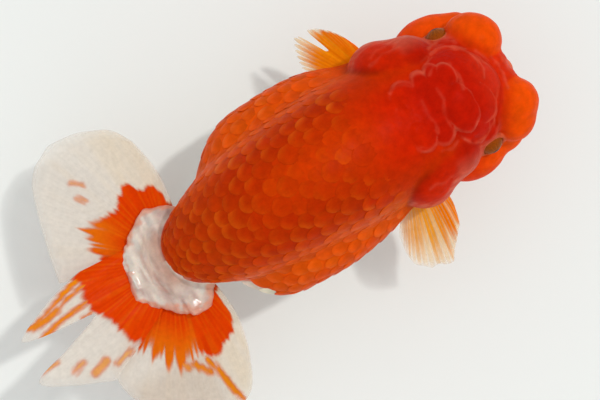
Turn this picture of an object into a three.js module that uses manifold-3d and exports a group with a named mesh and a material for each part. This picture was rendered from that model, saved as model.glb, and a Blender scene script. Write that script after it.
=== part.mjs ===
// A ranchu goldfish: a still, life-size model of the whole fish, held by a plain display stand.
// Millimetres. +X runs to the snout, +Y to the fish's left, +Z up.
// The origin is the centre of the stand base's underside.

import * as THREE from "three";
import { mergeVertices } from "three/addons/utils/BufferGeometryUtils.js";
import Module from "manifold-3d";

const wasm = await Module();
wasm.setup();

// ---------- driving dimensions ----------
const SWIM_HEIGHT = 46; // the fish's mid line above the floor
const GAP = 0.3; // clearance between pieces that meet
const SLIVER = 0.08; // facets flatter or thinner than this are merged away
const BASE = { length: 86, width: 44, thick: 4, bevel: 0.8, segments: 30 };
const ROD = { radius: 1.5, bury: 7, x: [-15, 15], sides: 16 };
const NECK_X = 19; // where the head ends and the trunk starts
const STALK_X = -37.5; // where the trunk ends and the tail stalk starts
const FAR = 400; // a box side larger than the fish
const SQUARENESS = 2.25; // superellipse exponent of the body's sections
const END_RINGS = 4; // rings of points round each rounded end of the body
const TINY = 1e-3;

const COLOUR = {
  trunk: 0xc83c04,
  wen: 0xc01f05,
  snout: 0xdc4a04,
  tailRoot: 0xddc4b8,
  tailFin: 0xe0dccf,
  pairedFin: 0xe88a2a,
  eye: 0x2a1a0a,
  stand: 0xe9e9e6,
  steel: 0xb4b6b8,
};

// ---------- materials ----------
function material(colour, roughness, metalness = 0) {
  return new THREE.MeshStandardMaterial({ color: colour, roughness, metalness });
}

const MATERIAL = {
  trunk: material(COLOUR.trunk, 0.35),
  wen: material(COLOUR.wen, 0.4),
  snout: material(COLOUR.snout, 0.35),
  tailRoot: material(COLOUR.tailRoot, 0.3),
  tailFin: material(COLOUR.tailFin, 0.4),
  pairedFin: material(COLOUR.pairedFin, 0.4),
  eye: material(COLOUR.eye, 0.1),
  stand: material(COLOUR.stand, 0.4),
  steel: material(COLOUR.steel, 0.25, 1),
};

// ---------- solids from three.js geometry ----------
function solidOf(geometry) {
  const bare = geometry.clone();
  bare.deleteAttribute("normal");
  bare.deleteAttribute("uv");
  const merged = mergeVertices(bare, TINY);
  return new wasm.Manifold(
    new wasm.Mesh({
      numProp: 3,
      vertProperties: merged.attributes.position.array,
      triVerts: new Uint32Array(merged.index.array),
    }),
  );
}

function geometryOf(solid) {
  const mesh = solid.getMesh();
  const geometry = new THREE.BufferGeometry();
  geometry.setAttribute("position", new THREE.BufferAttribute(mesh.vertProperties, 3));
  geometry.setIndex(new THREE.BufferAttribute(mesh.triVerts, 1));
  geometry.computeVertexNormals();
  return geometry;
}

function slab(fromX, toX) {
  const box = new THREE.BoxGeometry(toX - fromX, FAR, FAR);
  box.translate((fromX + toX) / 2, 0, 0);
  return solidOf(box);
}

function largestBody(solid) {
  const bodies = solid.decompose();
  return bodies.reduce((best, body) => (body.volume() > best.volume() ? body : best));
}

function union(solids) {
  return solids.reduce((sum, solid) => sum.add(solid));
}

// ---------- body sections ----------
function smooth(low, high, x) {
  const t = THREE.MathUtils.clamp((x - low) / (high - low), 0, 1);
  return t * t * (3 - 2 * t);
}

// The body curves a little to the left between tail and head, and its belly a little more.
function sideways(x) {
  return -0.4 + 1.6 * smooth(-45, 15, x);
}

function bellySideways(x) {
  return sideways(x) - 1.8 * smooth(-12, -30, x) + 0.65 * smooth(-8, 14, x);
}

// Each row: x, half-width, top, level of the greatest width, bottom.
const BACK = {
  rows: [
    [-47, 9.3, 2.5, -5, -12.5],
    [-40, 10.6, 8.5, -4.5, -13.5],
    [-34, 13.2, 14, -3, -16],
    [-27, 16, 20, -1.5, -19],
    [-18, 17.8, 25.5, 0, -21],
    [-5, 19, 29, 1, -22],
    [8, 19.8, 28, 1, -22],
    [20, 19.2, 24.5, 0, -21],
    [32, 17.8, 20.5, -1, -19],
    [44, 15.8, 17, -2, -17],
    [52, 13, 12, -2.5, -14],
    [58, 10, 8, -3, -11],
  ],
  rear: { from: -38, to: -46.5 },
  front: { from: 46, to: 58.5 },
  middleLine: sideways,
};
const BELLY = {
  rows: [
    [-32, 26, 3, -9, -25],
    [-25, 26.5, 7, -9, -28],
    [-20, 26.5, 10, -8, -29],
    [-13, 26, 11.5, -7.5, -29],
    [-3, 26.2, 12, -7, -29],
    [8, 25, 11, -7, -27.5],
    [20, 21.4, 8, -7, -24],
    [30, 18.5, 4, -7, -21],
    [38, 17, 2, -7, -18],
  ],
  rear: { from: -10, to: -35 },
  front: { from: 22, to: 38 },
  middleLine: bellySideways,
};

// A smooth curve through the rows' values, column by column.
function rowAt(rows, x) {
  const last = rows.length - 1;
  let i = 0;
  while (i < last - 1 && x > rows[i + 1][0]) i += 1;
  const t = THREE.MathUtils.clamp((x - rows[i][0]) / (rows[i + 1][0] - rows[i][0]), 0, 1);
  const slope = (k, column) => {
    const a = rows[Math.max(k - 1, 0)];
    const b = rows[Math.min(k + 1, last)];
    return (b[column] - a[column]) / (b[0] - a[0]);
  };
  const span = rows[i + 1][0] - rows[i][0];
  return [1, 2, 3, 4].map((column) => {
    const [p, q] = [rows[i][column], rows[i + 1][column]];
    const [m, n] = [slope(i, column) * span, slope(i + 1, column) * span];
    const cubic = 2 * (p - q) + m + n;
    const square = 3 * (q - p) - 2 * m - n;
    return ((cubic * t + square) * t + m) * t + p;
  });
}

// How far a section has closed towards a rounded end: 1 along the body, 0 at the end itself.
function closing(body, x) {
  const end = x < 0 ? body.rear : body.front;
  const t = THREE.MathUtils.clamp((x - end.from) / (end.to - end.from), 0, 1);
  return Math.sqrt(Math.max(1 - t * t, 0));
}

// The stations crowd towards the rounded ends, so that these stay round.
function stationsOf(body, along) {
  const places = [];
  for (let i = 1; i <= END_RINGS; i += 1) {
    const t = Math.cos((i * Math.PI) / 2 / (END_RINGS + 1));
    places.push(THREE.MathUtils.lerp(body.rear.from, body.rear.to, t));
    places.push(THREE.MathUtils.lerp(body.front.from, body.front.to, t));
  }
  for (let i = 0; i <= along; i += 1) {
    places.push(THREE.MathUtils.lerp(body.rear.from, body.front.from, i / along));
  }
  return places.sort((a, b) => a - b);
}

// A closed body: rings of points round each station, and a point at each end.
function bodyGeometry(body, along, around, grow = 0) {
  const points = [];
  const faces = [];
  const places = stationsOf(body, along);
  for (const x of places) {
    const [width, top, middle, bottom] = rowAt(body.rows, x);
    const shut = closing(body, x);
    for (let j = 0; j < around; j += 1) {
      const angle = (2 * Math.PI * j) / around;
      const [s, c] = [Math.sin(angle), Math.cos(angle)];
      const sum = Math.abs(s) ** SQUARENESS + Math.abs(c) ** SQUARENESS;
      const reach = sum ** (-1 / SQUARENESS);
      const tall = c > 0 ? top - middle : middle - bottom;
      const y = body.middleLine(x) + s * reach * (width * shut + grow);
      points.push(x, y, middle + c * reach * (tall * shut + grow));
    }
  }
  const rings = places.length;
  for (let i = 0; i < rings - 1; i += 1) {
    for (let j = 0; j < around; j += 1) {
      const next = (j + 1) % around;
      const [a, b] = [i * around + j, i * around + next];
      const [c, d] = [a + around, b + around];
      faces.push(a, c, b, b, c, d);
    }
  }
  for (const [ring, end, isRear] of [
    [0, body.rear.to - grow, true],
    [rings - 1, body.front.to + grow, false],
  ]) {
    const middle = rowAt(body.rows, end)[2];
    const tip = points.length / 3;
    points.push(end, body.middleLine(end), middle);
    for (let j = 0; j < around; j += 1) {
      const [a, b] = [ring * around + j, ring * around + ((j + 1) % around)];
      if (isRear) faces.push(tip, a, b);
      else faces.push(tip, b, a);
    }
  }
  const geometry = new THREE.BufferGeometry();
  geometry.setAttribute("position", new THREE.Float32BufferAttribute(points, 3));
  geometry.setIndex(faces);
  return geometry;
}

function wholeBody(grow) {
  const back = solidOf(bodyGeometry(BACK, 12, 26, grow));
  const belly = solidOf(bodyGeometry(BELLY, 8, 24, grow));
  return back.add(belly);
}

// ---------- rounded growths ----------
// A lobe is an ellipsoid: centre, half-sizes, number of sides, and a tilt about Y in degrees.
function lobe(centre, size, sides = 10, tilt = 0) {
  return { centre, size, sides, tilt };
}

function lobeSolid({ centre, size, sides, tilt }, grow) {
  const ball = new THREE.SphereGeometry(1, sides, Math.round(sides * 0.7));
  ball.rotateX(Math.PI / 2);
  ball.scale(size[0] + grow, size[1] + grow, size[2] + grow);
  ball.rotateY(THREE.MathUtils.degToRad(tilt));
  ball.translate(...centre);
  return solidOf(ball);
}

function cluster(list, grow) {
  return union(list.map((one) => lobeSolid(one, grow)));
}

const EYE_SIZE = [4.3, 4.3, 4.3];
const EYES = {
  eye_left: [lobe([44.9, 14.6, 2.2], EYE_SIZE, 14)],
  eye_right: [lobe([43.8, -12.7, 2.2], EYE_SIZE, 14)],
};

// The hood: a crown over the skull with scalloped sides, and lobes on snout, cheeks and gill covers.
const HOOD = {
  wen_crown: [
    lobe([40, 0.7, 13], [14, 12, 9.5], 14),
    lobe([29.8, 7.2, 16.2], [5, 5, 6], 8),
    lobe([29.5, 0.9, 17], [5, 6, 5.5], 8),
    lobe([34.8, 8.4, 16], [4.6, 4.8, 6], 8),
    lobe([40.2, 8.7, 15.2], [4.8, 5, 6], 8),
    lobe([46.8, 7.2, 13.5], [6, 6.4, 6.5], 10),
    lobe([29.5, -5.4, 16.2], [5, 5, 6], 8),
    lobe([34.4, -6.6, 16], [4.6, 4.8, 6], 8),
    lobe([39.6, -6.8, 15.2], [4.8, 5, 6], 8),
    lobe([46, -5.2, 13.5], [6, 6.4, 6.5], 10),
    lobe([44.5, 10.6, 10], [8, 5.2, 6], 8),
    lobe([42.6, -8.8, 10], [8, 5.2, 6], 8),
    lobe([51.5, 1.2, 8.5], [5, 9, 7], 10),
  ],
  wen_snout_left: [lobe([53.6, 11.3, 3.5], [7.5, 7.2, 8.6], 12), lobe([52, 13.4, 2.5], [6.2, 6.2, 7.6])],
  wen_snout_right: [lobe([54, -7.9, 3.5], [7.2, 6.8, 8.6], 12), lobe([52.2, -12.2, 1.5], [5.9, 5.6, 7.2])],
  snout_middle: [lobe([52.9, 3.4, 1.5], [5.9, 4.2, 8.2]), lobe([53, -0.9, 1.5], [5.9, 4.2, 8.2])],
  wen_cheek_left: [
    lobe([42.8, 17.5, -8.5], [9.9, 6.8, 8.4], 12),
    lobe([50.2, 15, -7.5], [6.8, 6.7, 7.2]),
  ],
  wen_cheek_right: [
    lobe([39.5, -15.1, -8.5], [9.6, 6.8, 8.4], 12),
    lobe([48.9, -12.9, -7.5], [7, 6.3, 7.2]),
  ],
  gill_cover_left: [
    lobe([27.2, 15.9, 1.2], [8.7, 8.8, 14.8], 12),
    lobe([31.4, 13.8, 2], [6.2, 7.4, 14.2]),
    lobe([36.2, 13.6, 4], [6.4, 7.8, 11.8]),
  ],
  gill_cover_right: [
    lobe([24.4, -13.6, 1.2], [8.9, 8.8, 14.8], 12),
    lobe([29.6, -11.4, 2], [6.2, 7.4, 14.2]),
    lobe([35.3, -11.5, 4], [6.2, 7.2, 11.8]),
  ],
};

// The upturned mouth: an upper and a lower lip round a short gap.
const LIPS = {
  lip_upper: [lobe([57.2, 1.2, -5.6], [2.6, 3.6, 1.5], 10, 12)],
  lip_lower: [lobe([56.4, 1.2, -9.4], [2.6, 3.3, 1.5], 10, -12)],
};

// The pale root of the tail: a flat pad, widest in front, its rear edge a little lower, and a collar on top.
const ROOT_TILT = -8;
const TAIL_ROOT = {
  tail_root: [
    lobe([-48.5, -0.8, -11.9], [11.6, 11, 4.5], 14, ROOT_TILT),
    lobe([-51, 4.8, -12], [7.6, 6.2, 4.1], 10, ROOT_TILT),
    lobe([-52, -6, -12.2], [8.4, 6, 4.1], 10, ROOT_TILT),
    lobe([-44.5, 6.5, -11], [8.7, 9.4, 4.3], 12, ROOT_TILT),
    lobe([-44.7, -8.4, -11], [8.9, 9.2, 4.3], 12, ROOT_TILT),
    lobe([-44.5, -0.5, -8], [7.5, 10, 5.5], 12),
  ],
};

// ---------- fins ----------
// A fin is a thin closed plate of rays. Ray u runs from the root curve (v = 0) to the tip curve (v = 1).
// bend gives the point's shift from that straight ray: forward, and up.
function finGeometry({ root, tip, bend, thick, edge, rays, steps }) {
  const rootCurve = new THREE.CatmullRomCurve3(root.map((p) => new THREE.Vector3(...p)));
  const tipCurve = new THREE.CatmullRomCurve3(tip.map((p) => new THREE.Vector3(...p)));
  const point = (u, v) => {
    const place = rootCurve.getPoint(u).lerp(tipCurve.getPoint(u), v);
    const [forward, up] = bend(u, v);
    return place.add(new THREE.Vector3(forward, 0, up));
  };
  const points = [];
  for (const side of [1, -1]) {
    for (let i = 0; i <= rays; i += 1) {
      for (let j = 0; j <= steps; j += 1) {
        const [u, v] = [i / rays, j / steps];
        const [u0, u1] = [Math.max(u - TINY, 0), Math.min(u + TINY, 1)];
        const [v0, v1] = [Math.max(v - TINY, 0), Math.min(v + TINY, 1)];
        const across = point(u1, v).sub(point(u0, v));
        const along = point(u, v1).sub(point(u, v0));
        const normal = across.cross(along).normalize();
        const half = THREE.MathUtils.lerp(thick, edge, v) / 2;
        points.push(...point(u, v).addScaledVector(normal, side * half));
      }
    }
  }
  const row = steps + 1;
  const sheet = (rays + 1) * row;
  const faces = [];
  const quad = (a, b, c, d) => faces.push(a, b, c, a, c, d);
  for (let i = 0; i < rays; i += 1) {
    for (let j = 0; j < steps; j += 1) {
      const a = i * row + j;
      const [b, c, d] = [a + row, a + row + 1, a + 1];
      quad(a, b, c, d);
      quad(sheet + a, sheet + d, sheet + c, sheet + b);
    }
    const [left, right] = [i * row, (i + 1) * row];
    quad(left, sheet + left, sheet + right, right);
    quad(right + steps, sheet + right + steps, sheet + left + steps, left + steps);
  }
  for (let j = 0; j < steps; j += 1) {
    const last = rays * row + j;
    quad(j + 1, sheet + j + 1, sheet + j, j);
    quad(last, sheet + last, sheet + last + 1, last + 1);
  }
  const geometry = new THREE.BufferGeometry();
  geometry.setAttribute("position", new THREE.Float32BufferAttribute(points, 3));
  geometry.setIndex(faces);
  return geometry;
}

function finSolid(shape, grow) {
  const { thick, edge } = shape;
  return solidOf(finGeometry({ ...shape, thick: thick + 2 * grow, edge: edge + 2 * grow }));
}

// An outer tail lobe bows forward at its front edge (front = 0) and waves a little towards its rear (1).
function outerBend(front, v) {
  return [1.6 * (1 - front) ** 4 * Math.sin(Math.PI * v), 1.5 * v * Math.sin(7 * front + 1)];
}

// An inner tail lobe dips before it rises to its tip.
function innerBend(u, v) {
  return [0, v * (1 - v) * (1.2 * Math.sin(9 * u) - 2)];
}

// A paired fin's front ray is curved, and the blade waves a little.
function pairedBend(front, v) {
  return [0.9 * (1 - front) ** 3 * Math.sin(Math.PI * v), 0.7 * v * Math.sin(7 * front)];
}

const TAIL_OUTER = { thick: 1.6, edge: 0.6, rays: 13, steps: 5 };
const TAIL_INNER = { thick: 1.6, edge: 0.6, rays: 9, steps: 5 };
const PECTORAL = { thick: 1.5, edge: 0.55, rays: 9, steps: 4 };
const PELVIC = { thick: 1.4, edge: 0.55, rays: 6, steps: 4 };
const ANAL = { thick: 1.2, edge: 0.55, rays: 5, steps: 3 };

// The tail's four lobes. Their roots lie inside the tail root, and the inner pair lies over the outer pair.
const TAIL_FINS = {
  tail_left_inner: {
    ...TAIL_INNER,
    root: [[-51.5, 8, -10], [-55, 4.2, -10.2], [-56, -0.5, -10.4]],
    tip: [[-69, 8.6, -8.5], [-80, 5.4, -3.5], [-90.5, -0.4, 1], [-80.5, -2.5, -3], [-70.5, -3.2, -7]],
    bend: innerBend,
  },
  tail_right_inner: {
    ...TAIL_INNER,
    root: [[-56, -1.1, -10.4], [-55, -5.4, -10.2], [-51.5, -9.6, -10]],
    tip: [[-70.5, -3.8, -7], [-81, -8, -3], [-91.5, -12, 0.5], [-85, -17, -3], [-74.5, -22, -9]],
    bend: innerBend,
  },
  tail_left_outer: {
    ...TAIL_OUTER,
    root: [[-39, 11, -11], [-46, 12.5, -11.5], [-51.5, 8.6, -12.4], [-53.5, 3.5, -12.6]],
    tip: [
      [-39.8, 33.3, -14.5], [-43.6, 39, -16], [-51, 42, -17], [-59.3, 43, -17],
      [-65.8, 40.3, -16], [-70, 34.4, -15], [-71.7, 27.3, -14], [-73.4, 18.3, -13.5], [-75, 8.4, -13.5],
    ],
    bend: (u, v) => outerBend(u, v),
  },
  tail_right_outer: {
    ...TAIL_OUTER,
    root: [[-53.5, -5, -12.6], [-51.5, -10, -12.4], [-46, -13.5, -11.5], [-39, -12, -11]],
    tip: [
      [-74.5, -17.5, -14], [-74, -26, -14], [-70.5, -35, -15], [-64, -41.6, -16.5],
      [-56.5, -45, -17.5], [-49, -45, -17], [-43.6, -41.6, -16], [-40, -33, -14.5],
    ],
    bend: (u, v) => outerBend(1 - u, v),
  },
};

const PAIRED_FINS = {
  pectoral_left: {
    ...PECTORAL,
    root: [[25.2, 19.8, -11], [21.5, 18.5, -12], [18, 18.5, -13]],
    tip: [
      [25.4, 29.6, -12], [23.4, 33.4, -13], [20, 36, -14], [16.4, 36.8, -15],
      [13, 36, -15.5], [10.6, 33, -16], [10, 29, -16.5], [11.8, 25.4, -16.5],
    ],
    bend: (u, v) => pairedBend(u, v),
  },
  pectoral_right: {
    ...PECTORAL,
    root: [[18, -16, -13], [21.5, -16, -12], [26.2, -16.8, -11]],
    tip: [
      [10.4, -24.4, -16.5], [9.8, -29.4, -16.5], [11.8, -34.2, -16], [15.8, -37.2, -15.5],
      [20.4, -38, -14.5], [24.6, -35.4, -13.5], [27.2, -30.8, -12.5], [28, -25.6, -12],
    ],
    bend: (u, v) => pairedBend(1 - u, v),
  },
  pelvic_left: {
    ...PELVIC,
    root: [[11, 9.5, -25], [8, 8, -26], [5, 7, -26.5]],
    tip: [[4.5, 20, -29], [-2, 19.5, -33], [-8.5, 15.5, -35], [-11.5, 10.5, -34]],
    bend: (u, v) => pairedBend(u, v),
  },
  pelvic_right: {
    ...PELVIC,
    root: [[5, -6, -26.5], [8, -7, -26], [11, -8.5, -25]],
    tip: [[-11.5, -9.5, -34], [-8.5, -14.5, -35], [-2, -18.5, -33], [4.5, -19, -29]],
    bend: (u, v) => pairedBend(1 - u, v),
  },
  anal_left: {
    ...ANAL,
    root: [[-27, 3.4, -20], [-29.5, 3.2, -18.5], [-32, 3, -16.5]],
    tip: [[-34.5, 6.4, -29], [-38, 6.8, -28.5], [-42, 6.4, -24.5], [-42.5, 5.6, -20.5]],
    bend: () => [0, 0],
  },
  anal_right: {
    ...ANAL,
    root: [[-32, -3, -16.5], [-29.5, -3.2, -18.5], [-27, -3.4, -20]],
    tip: [[-42.5, -5.6, -20.5], [-42, -6.4, -24.5], [-38, -6.8, -28.5], [-34.5, -6.4, -29]],
    bend: () => [0, 0],
  },
};

// ---------- display stand ----------
function standBase() {
  const outline = new THREE.Shape();
  const [halfLong, halfWide] = [BASE.length / 2 - BASE.bevel, BASE.width / 2 - BASE.bevel];
  outline.absellipse(0, 0, halfLong, halfWide, 0, 2 * Math.PI, false, 0);
  const solid = solidOf(
    new THREE.ExtrudeGeometry(outline, {
      depth: BASE.thick - BASE.bevel,
      curveSegments: BASE.segments,
      bevelThickness: BASE.bevel,
      bevelSize: BASE.bevel,
      bevelSegments: 1,
    }),
  );
  // The bevel below the floor is cut off, so that the base stands on its full outline.
  const above = new THREE.BoxGeometry(FAR, FAR, FAR);
  above.translate(0, 0, FAR / 2);
  return solid.intersect(solidOf(above));
}

// A rod in the fish's own frame, whose zero level is the mid line.
function rodSolid(x, grow) {
  const foot = BASE.thick + GAP - SWIM_HEIGHT;
  const head = rowAt(BELLY.rows, x)[3] + ROD.bury;
  const radius = ROD.radius + grow;
  const rod = new THREE.CylinderGeometry(radius, radius, head - foot + 2 * grow, ROD.sides);
  rod.rotateX(Math.PI / 2);
  rod.translate(x, 0, (foot + head) / 2);
  return solidOf(rod);
}

// ---------- assembly ----------
const fish = new THREE.Group();
fish.position.z = SWIM_HEIGHT;
const stand = new THREE.Group();
const taken = []; // solids grown by the gap, which each later piece is cut back to clear

function addPiece(parent, name, solid, finish) {
  const clear = taken.reduce((rest, other) => rest.subtract(other), solid);
  const mesh = new THREE.Mesh(geometryOf(largestBody(clear).simplify(SLIVER)), finish);
  mesh.name = name;
  parent.add(mesh);
}

function addLobes(pieces, finishOf) {
  for (const [name, list] of Object.entries(pieces)) {
    addPiece(fish, name, cluster(list, 0), finishOf(name));
    taken.push(cluster(list, GAP));
  }
}

function addFins(pieces, finish) {
  for (const [name, shape] of Object.entries(pieces)) {
    addPiece(fish, name, finSolid(shape, 0), finish);
    taken.push(finSolid(shape, GAP));
  }
}

addPiece(stand, "stand_base", standBase(), MATERIAL.stand);
ROD.x.forEach((x, i) => {
  addPiece(fish, `stand_rod_${i + 1}`, rodSolid(x, 0), MATERIAL.steel);
  taken.push(rodSolid(x, GAP));
});
addLobes(EYES, () => MATERIAL.eye);

const body = wholeBody(0);
const headCut = body.intersect(slab(NECK_X + GAP / 2, FAR / 2));
const trunkCut = body.intersect(slab(STALK_X + GAP / 2, NECK_X - GAP / 2));
const stalkCut = body.intersect(slab(-FAR / 2, STALK_X - GAP / 2));
addPiece(fish, "head", headCut, MATERIAL.wen);
addPiece(fish, "trunk", trunkCut, MATERIAL.trunk);
addPiece(fish, "tail_stalk", stalkCut, MATERIAL.trunk);
taken.push(wholeBody(GAP));

addLobes(TAIL_ROOT, () => MATERIAL.tailRoot);
addLobes(HOOD, (name) => (name.includes("crown") ? MATERIAL.wen : MATERIAL.snout));
addLobes(LIPS, () => MATERIAL.snout);
addFins(TAIL_FINS, MATERIAL.tailFin);
addFins(PAIRED_FINS, MATERIAL.pairedFin);

const model = new THREE.Group();
model.add(fish, stand);

export default model;
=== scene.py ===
"""The looks of a ranchu goldfish, a still life-size model on a plain display stand.

Shapes are worked out in millimetres in the fish's own frame (x to the snout, y to its left, z up from its
mid line) and turned into metres in the row frame when a mesh is made.
"""

import math

import bpy
import numpy as np
from mathutils import Matrix, Vector


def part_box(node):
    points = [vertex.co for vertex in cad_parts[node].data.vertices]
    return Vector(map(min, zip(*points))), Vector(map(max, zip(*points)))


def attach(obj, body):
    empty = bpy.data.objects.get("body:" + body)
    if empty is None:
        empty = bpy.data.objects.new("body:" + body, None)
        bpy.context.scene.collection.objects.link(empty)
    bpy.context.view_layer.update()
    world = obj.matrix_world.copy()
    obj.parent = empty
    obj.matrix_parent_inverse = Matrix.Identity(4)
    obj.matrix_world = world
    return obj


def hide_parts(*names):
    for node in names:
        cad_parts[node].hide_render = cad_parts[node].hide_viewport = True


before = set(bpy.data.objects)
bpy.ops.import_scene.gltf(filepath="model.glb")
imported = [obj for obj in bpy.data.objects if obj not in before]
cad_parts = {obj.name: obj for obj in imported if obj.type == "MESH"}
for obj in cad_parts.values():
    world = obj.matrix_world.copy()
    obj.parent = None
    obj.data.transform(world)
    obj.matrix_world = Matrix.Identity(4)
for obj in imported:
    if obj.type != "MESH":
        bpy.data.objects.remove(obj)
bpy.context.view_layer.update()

MM = 0.001
EYE_Z = 2.2  # the eyes' height over the mid line
low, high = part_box("eye_left")
MID_LEVEL = (low.z + high.z) / 2 / MM - EYE_Z  # the mid line's height above the floor
RANDOM = np.random.default_rng(7)
FAR_OFF = 30.0  # a distance beyond any that matters
TINY = 1e-9  # keeps a length that is divided by off nought


# ---------- numbers ----------
def unit(value):
    return np.clip(value, 0.0, 1.0)


def step(low_edge, high_edge, value):
    """0 below low_edge, 1 above high_edge and a smooth rise between. The edges may come in either order."""
    t = unit((value - low_edge) / (high_edge - low_edge))
    return t * t * (3.0 - 2.0 * t)


def srgb(red, green, blue):
    """A colour given as 0 to 255 sRGB numbers, as a linear array."""
    c = np.array([red, green, blue], float) / 255.0
    return np.where(c <= 0.04045, c / 12.92, ((c + 0.055) / 1.055) ** 2.4)


def mix(first, second, share):
    """Blends two colours or arrays of colours by an array of shares."""
    share = np.asarray(share)[..., None]
    return first * (1.0 - share) + second * share


def in_plane(x, y):
    """Points at height 0, for a field that is the same at every height."""
    return np.stack([x, y, 0 * x], axis=-1)


def lengths_of(vectors):
    return np.linalg.norm(vectors, axis=-1, keepdims=True)


def curve(points, u):
    """A smooth curve through the points, at places u from 0 to 1."""
    points = np.asarray(points, float)
    last = len(points) - 1
    at = unit(np.asarray(u, float)) * last
    i = np.minimum(at.astype(int), last - 1)
    t = (at - i)[..., None]
    p0, p1 = points[np.maximum(i - 1, 0)], points[i]
    p2, p3 = points[i + 1], points[np.minimum(i + 2, last)]
    return 0.5 * (
        2 * p1 + (p2 - p0) * t + (2 * p0 - 5 * p1 + 4 * p2 - p3) * t**2
        + (3 * p1 - p0 - 3 * p2 + p3) * t**3
    )


def table(rows, x):
    """A smooth curve through the rows' values over their first column, as the solid's sections use."""
    rows = np.asarray(rows, float)
    places, values = rows[:, 0], rows[:, 1:]
    i = np.clip(np.searchsorted(places, x, side="right") - 1, 0, len(rows) - 2)
    span = places[i + 1] - places[i]
    t = unit((x - places[i]) / span)[..., None]
    before, after = np.maximum(i - 1, 0), np.minimum(i + 2, len(rows) - 1)
    p, q = values[i], values[i + 1]
    m = (q - values[before]) / (places[i + 1] - places[before])[..., None] * span[..., None]
    n = (values[after] - p) / (places[after] - places[i])[..., None] * span[..., None]
    return ((2 * (p - q) + m + n) * t + (3 * (q - p) - 2 * m - n)) * t * t + m * t + p


HASH_PRIMES = np.array([73856093, 19349663, 83492791])
HASH_MOST = 0x7FFFFFFF


def value_noise(points, size, seed):
    """Smooth noise from -1 to 1 at points in millimetres, with features of about that size."""
    cell = np.floor(points / size).astype(np.int64)
    part = points / size - cell
    part = part * part * (3 - 2 * part)
    total = np.zeros(len(points))
    for corner in range(8):
        offset = np.array([corner & 1, corner >> 1 & 1, corner >> 2])
        key = cell + offset
        mixed = np.bitwise_xor.reduce(key * HASH_PRIMES, axis=1) ^ (seed * 2654435761)
        mixed = (mixed ^ (mixed >> 13)) * 1274126177 & HASH_MOST
        height = mixed / (HASH_MOST // 2) - 1.0
        total += height * np.prod(np.where(offset == 1, part, 1 - part), axis=1)
    return total


# ---------- the fish's form as distance fields ----------
SQUARENESS = 2.25
COAT = 0.35  # how far the scales stand over the skin
# Each row: x, half-width, top, level of the greatest width, bottom.
BACK = dict(
    rows=[
        (-47, 9.3, 2.5, -5, -12.5), (-40, 10.6, 8.5, -4.5, -13.5), (-34, 13.2, 14, -3, -16),
        (-27, 16, 20, -1.5, -19), (-18, 17.8, 25.5, 0, -21), (-5, 19, 29, 1, -22), (8, 19.8, 28, 1, -22),
        (20, 19.2, 24.5, 0, -21), (32, 17.8, 20.5, -1, -19), (44, 15.8, 17, -2, -17),
        (52, 13, 12, -2.5, -14), (58, 10, 8, -3, -11),
    ],
    rear=(-38, -46.5), front=(46, 58.5),
)
BELLY = dict(
    rows=[
        (-32, 26, 3, -9, -25), (-25, 26.5, 7, -9, -28), (-20, 26.5, 10, -8, -29), (-13, 26, 11.5, -7.5, -29),
        (-3, 26.2, 12, -7, -29), (8, 25, 11, -7, -27.5), (20, 21.4, 8, -7, -24), (30, 18.5, 4, -7, -21),
        (38, 17, 2, -7, -18),
    ],
    rear=(-10, -35), front=(22, 38),
)

# The crown's lobes lie like tiles on the bare head, each seen from above as an oval.
# Each: x, y, half-length, half-width, height over the head, and whether it fades out to its rear.
CROWN_TILES = [
    (40.0, -2.2, 4.9, 7.5, 1.7, 0), (36.5, 2.8, 6.8, 6.3, 1.45, 1), (42.4, 5.5, 8.1, 7.9, 0.9, 0),
    (40.8, 6.6, 2.9, 4.1, 1.6, 0), (38.0, 7.2, 2.8, 4.8, 1.3, 0), (34.2, 6.9, 2.8, 4.6, 1.15, 0),
    (28.9, 6.7, 4.2, 4.9, 1.0, 1), (28.3, -4.2, 3.9, 4.6, 1.1, 1), (33.2, -4.5, 3.7, 5.1, 1.25, 1),
    (44.9, -3.5, 4.9, 6.2, 0.85, 0), (41.3, -7.4, 5.0, 5.5, 0.55, 0), (42.4, -8.0, 4.9, 6.1, 0.3, 0),
    (42.9, 9.0, 5.2, 6.2, 0.5, 0), (43.8, 4.9, 7.9, 8.7, 0.5, 0), (47.0, 0.9, 6.2, 6.6, 0.5, 0),
    (31.5, 1.2, 7.5, 9.0, 0.85, 1),
]
TILE_SINK = 0.6  # how far a tile's rim dips under the bare head
TILE_LIP = 0.16  # how far the thin edge of a tile stands up
CROWN_DEPTH = 5.0
DOME = ((38.4, 0.9, 8), (15.2, 13.2, 13.0))  # the skull under the crown

# Every other lobe is an ellipsoid: its centre and its half-sizes.
TEMPLE_LOBES = [((36.2, 13.6, 4), (6.2, 7.6, 11.6)), ((35.3, -11.5, 4), (6.0, 7.0, 11.6))]
BROW_LOBES = [((44.8, 9.9, 6.8), (5.2, 5.9, 5)), ((43.6, -8.1, 6.8), (5, 5.9, 5))]
SNOUT_LOBES = [
    ((53.4, 11.1, 3.5), (7.0, 6.8, 8.5)), ((52, 13.4, 2.5), (6, 6, 7.5)),
    ((54, -7.9, 3.5), (7, 6.6, 8.5)), ((52.2, -12.2, 1.5), (5.7, 5.4, 7)),
]
NOSE_LOBES = [((52.9, 3.4, 1.5), (5.7, 4, 8)), ((53, -0.9, 1.5), (5.7, 4, 8))]
CHEEK_LOBES = [
    ((42.8, 17.5, -8.5), (9.7, 6.6, 8.2)), ((50.2, 15, -7.5), (6.6, 6.5, 7)),
    ((39.5, -15.1, -8.5), (9.4, 6.6, 8.2)), ((48.9, -12.9, -7.5), (6.8, 6.1, 7)),
]
GILL_LOBES = [
    ((27.2, 15.9, 1.2), (8.4, 8.5, 14.6)), ((31.4, 13.8, 2), (6, 7.2, 14)),
    ((24.4, -13.6, 1.2), (8.6, 8.5, 14.6)), ((29.6, -11.4, 2), (6, 7.2, 14)),
]
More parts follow.
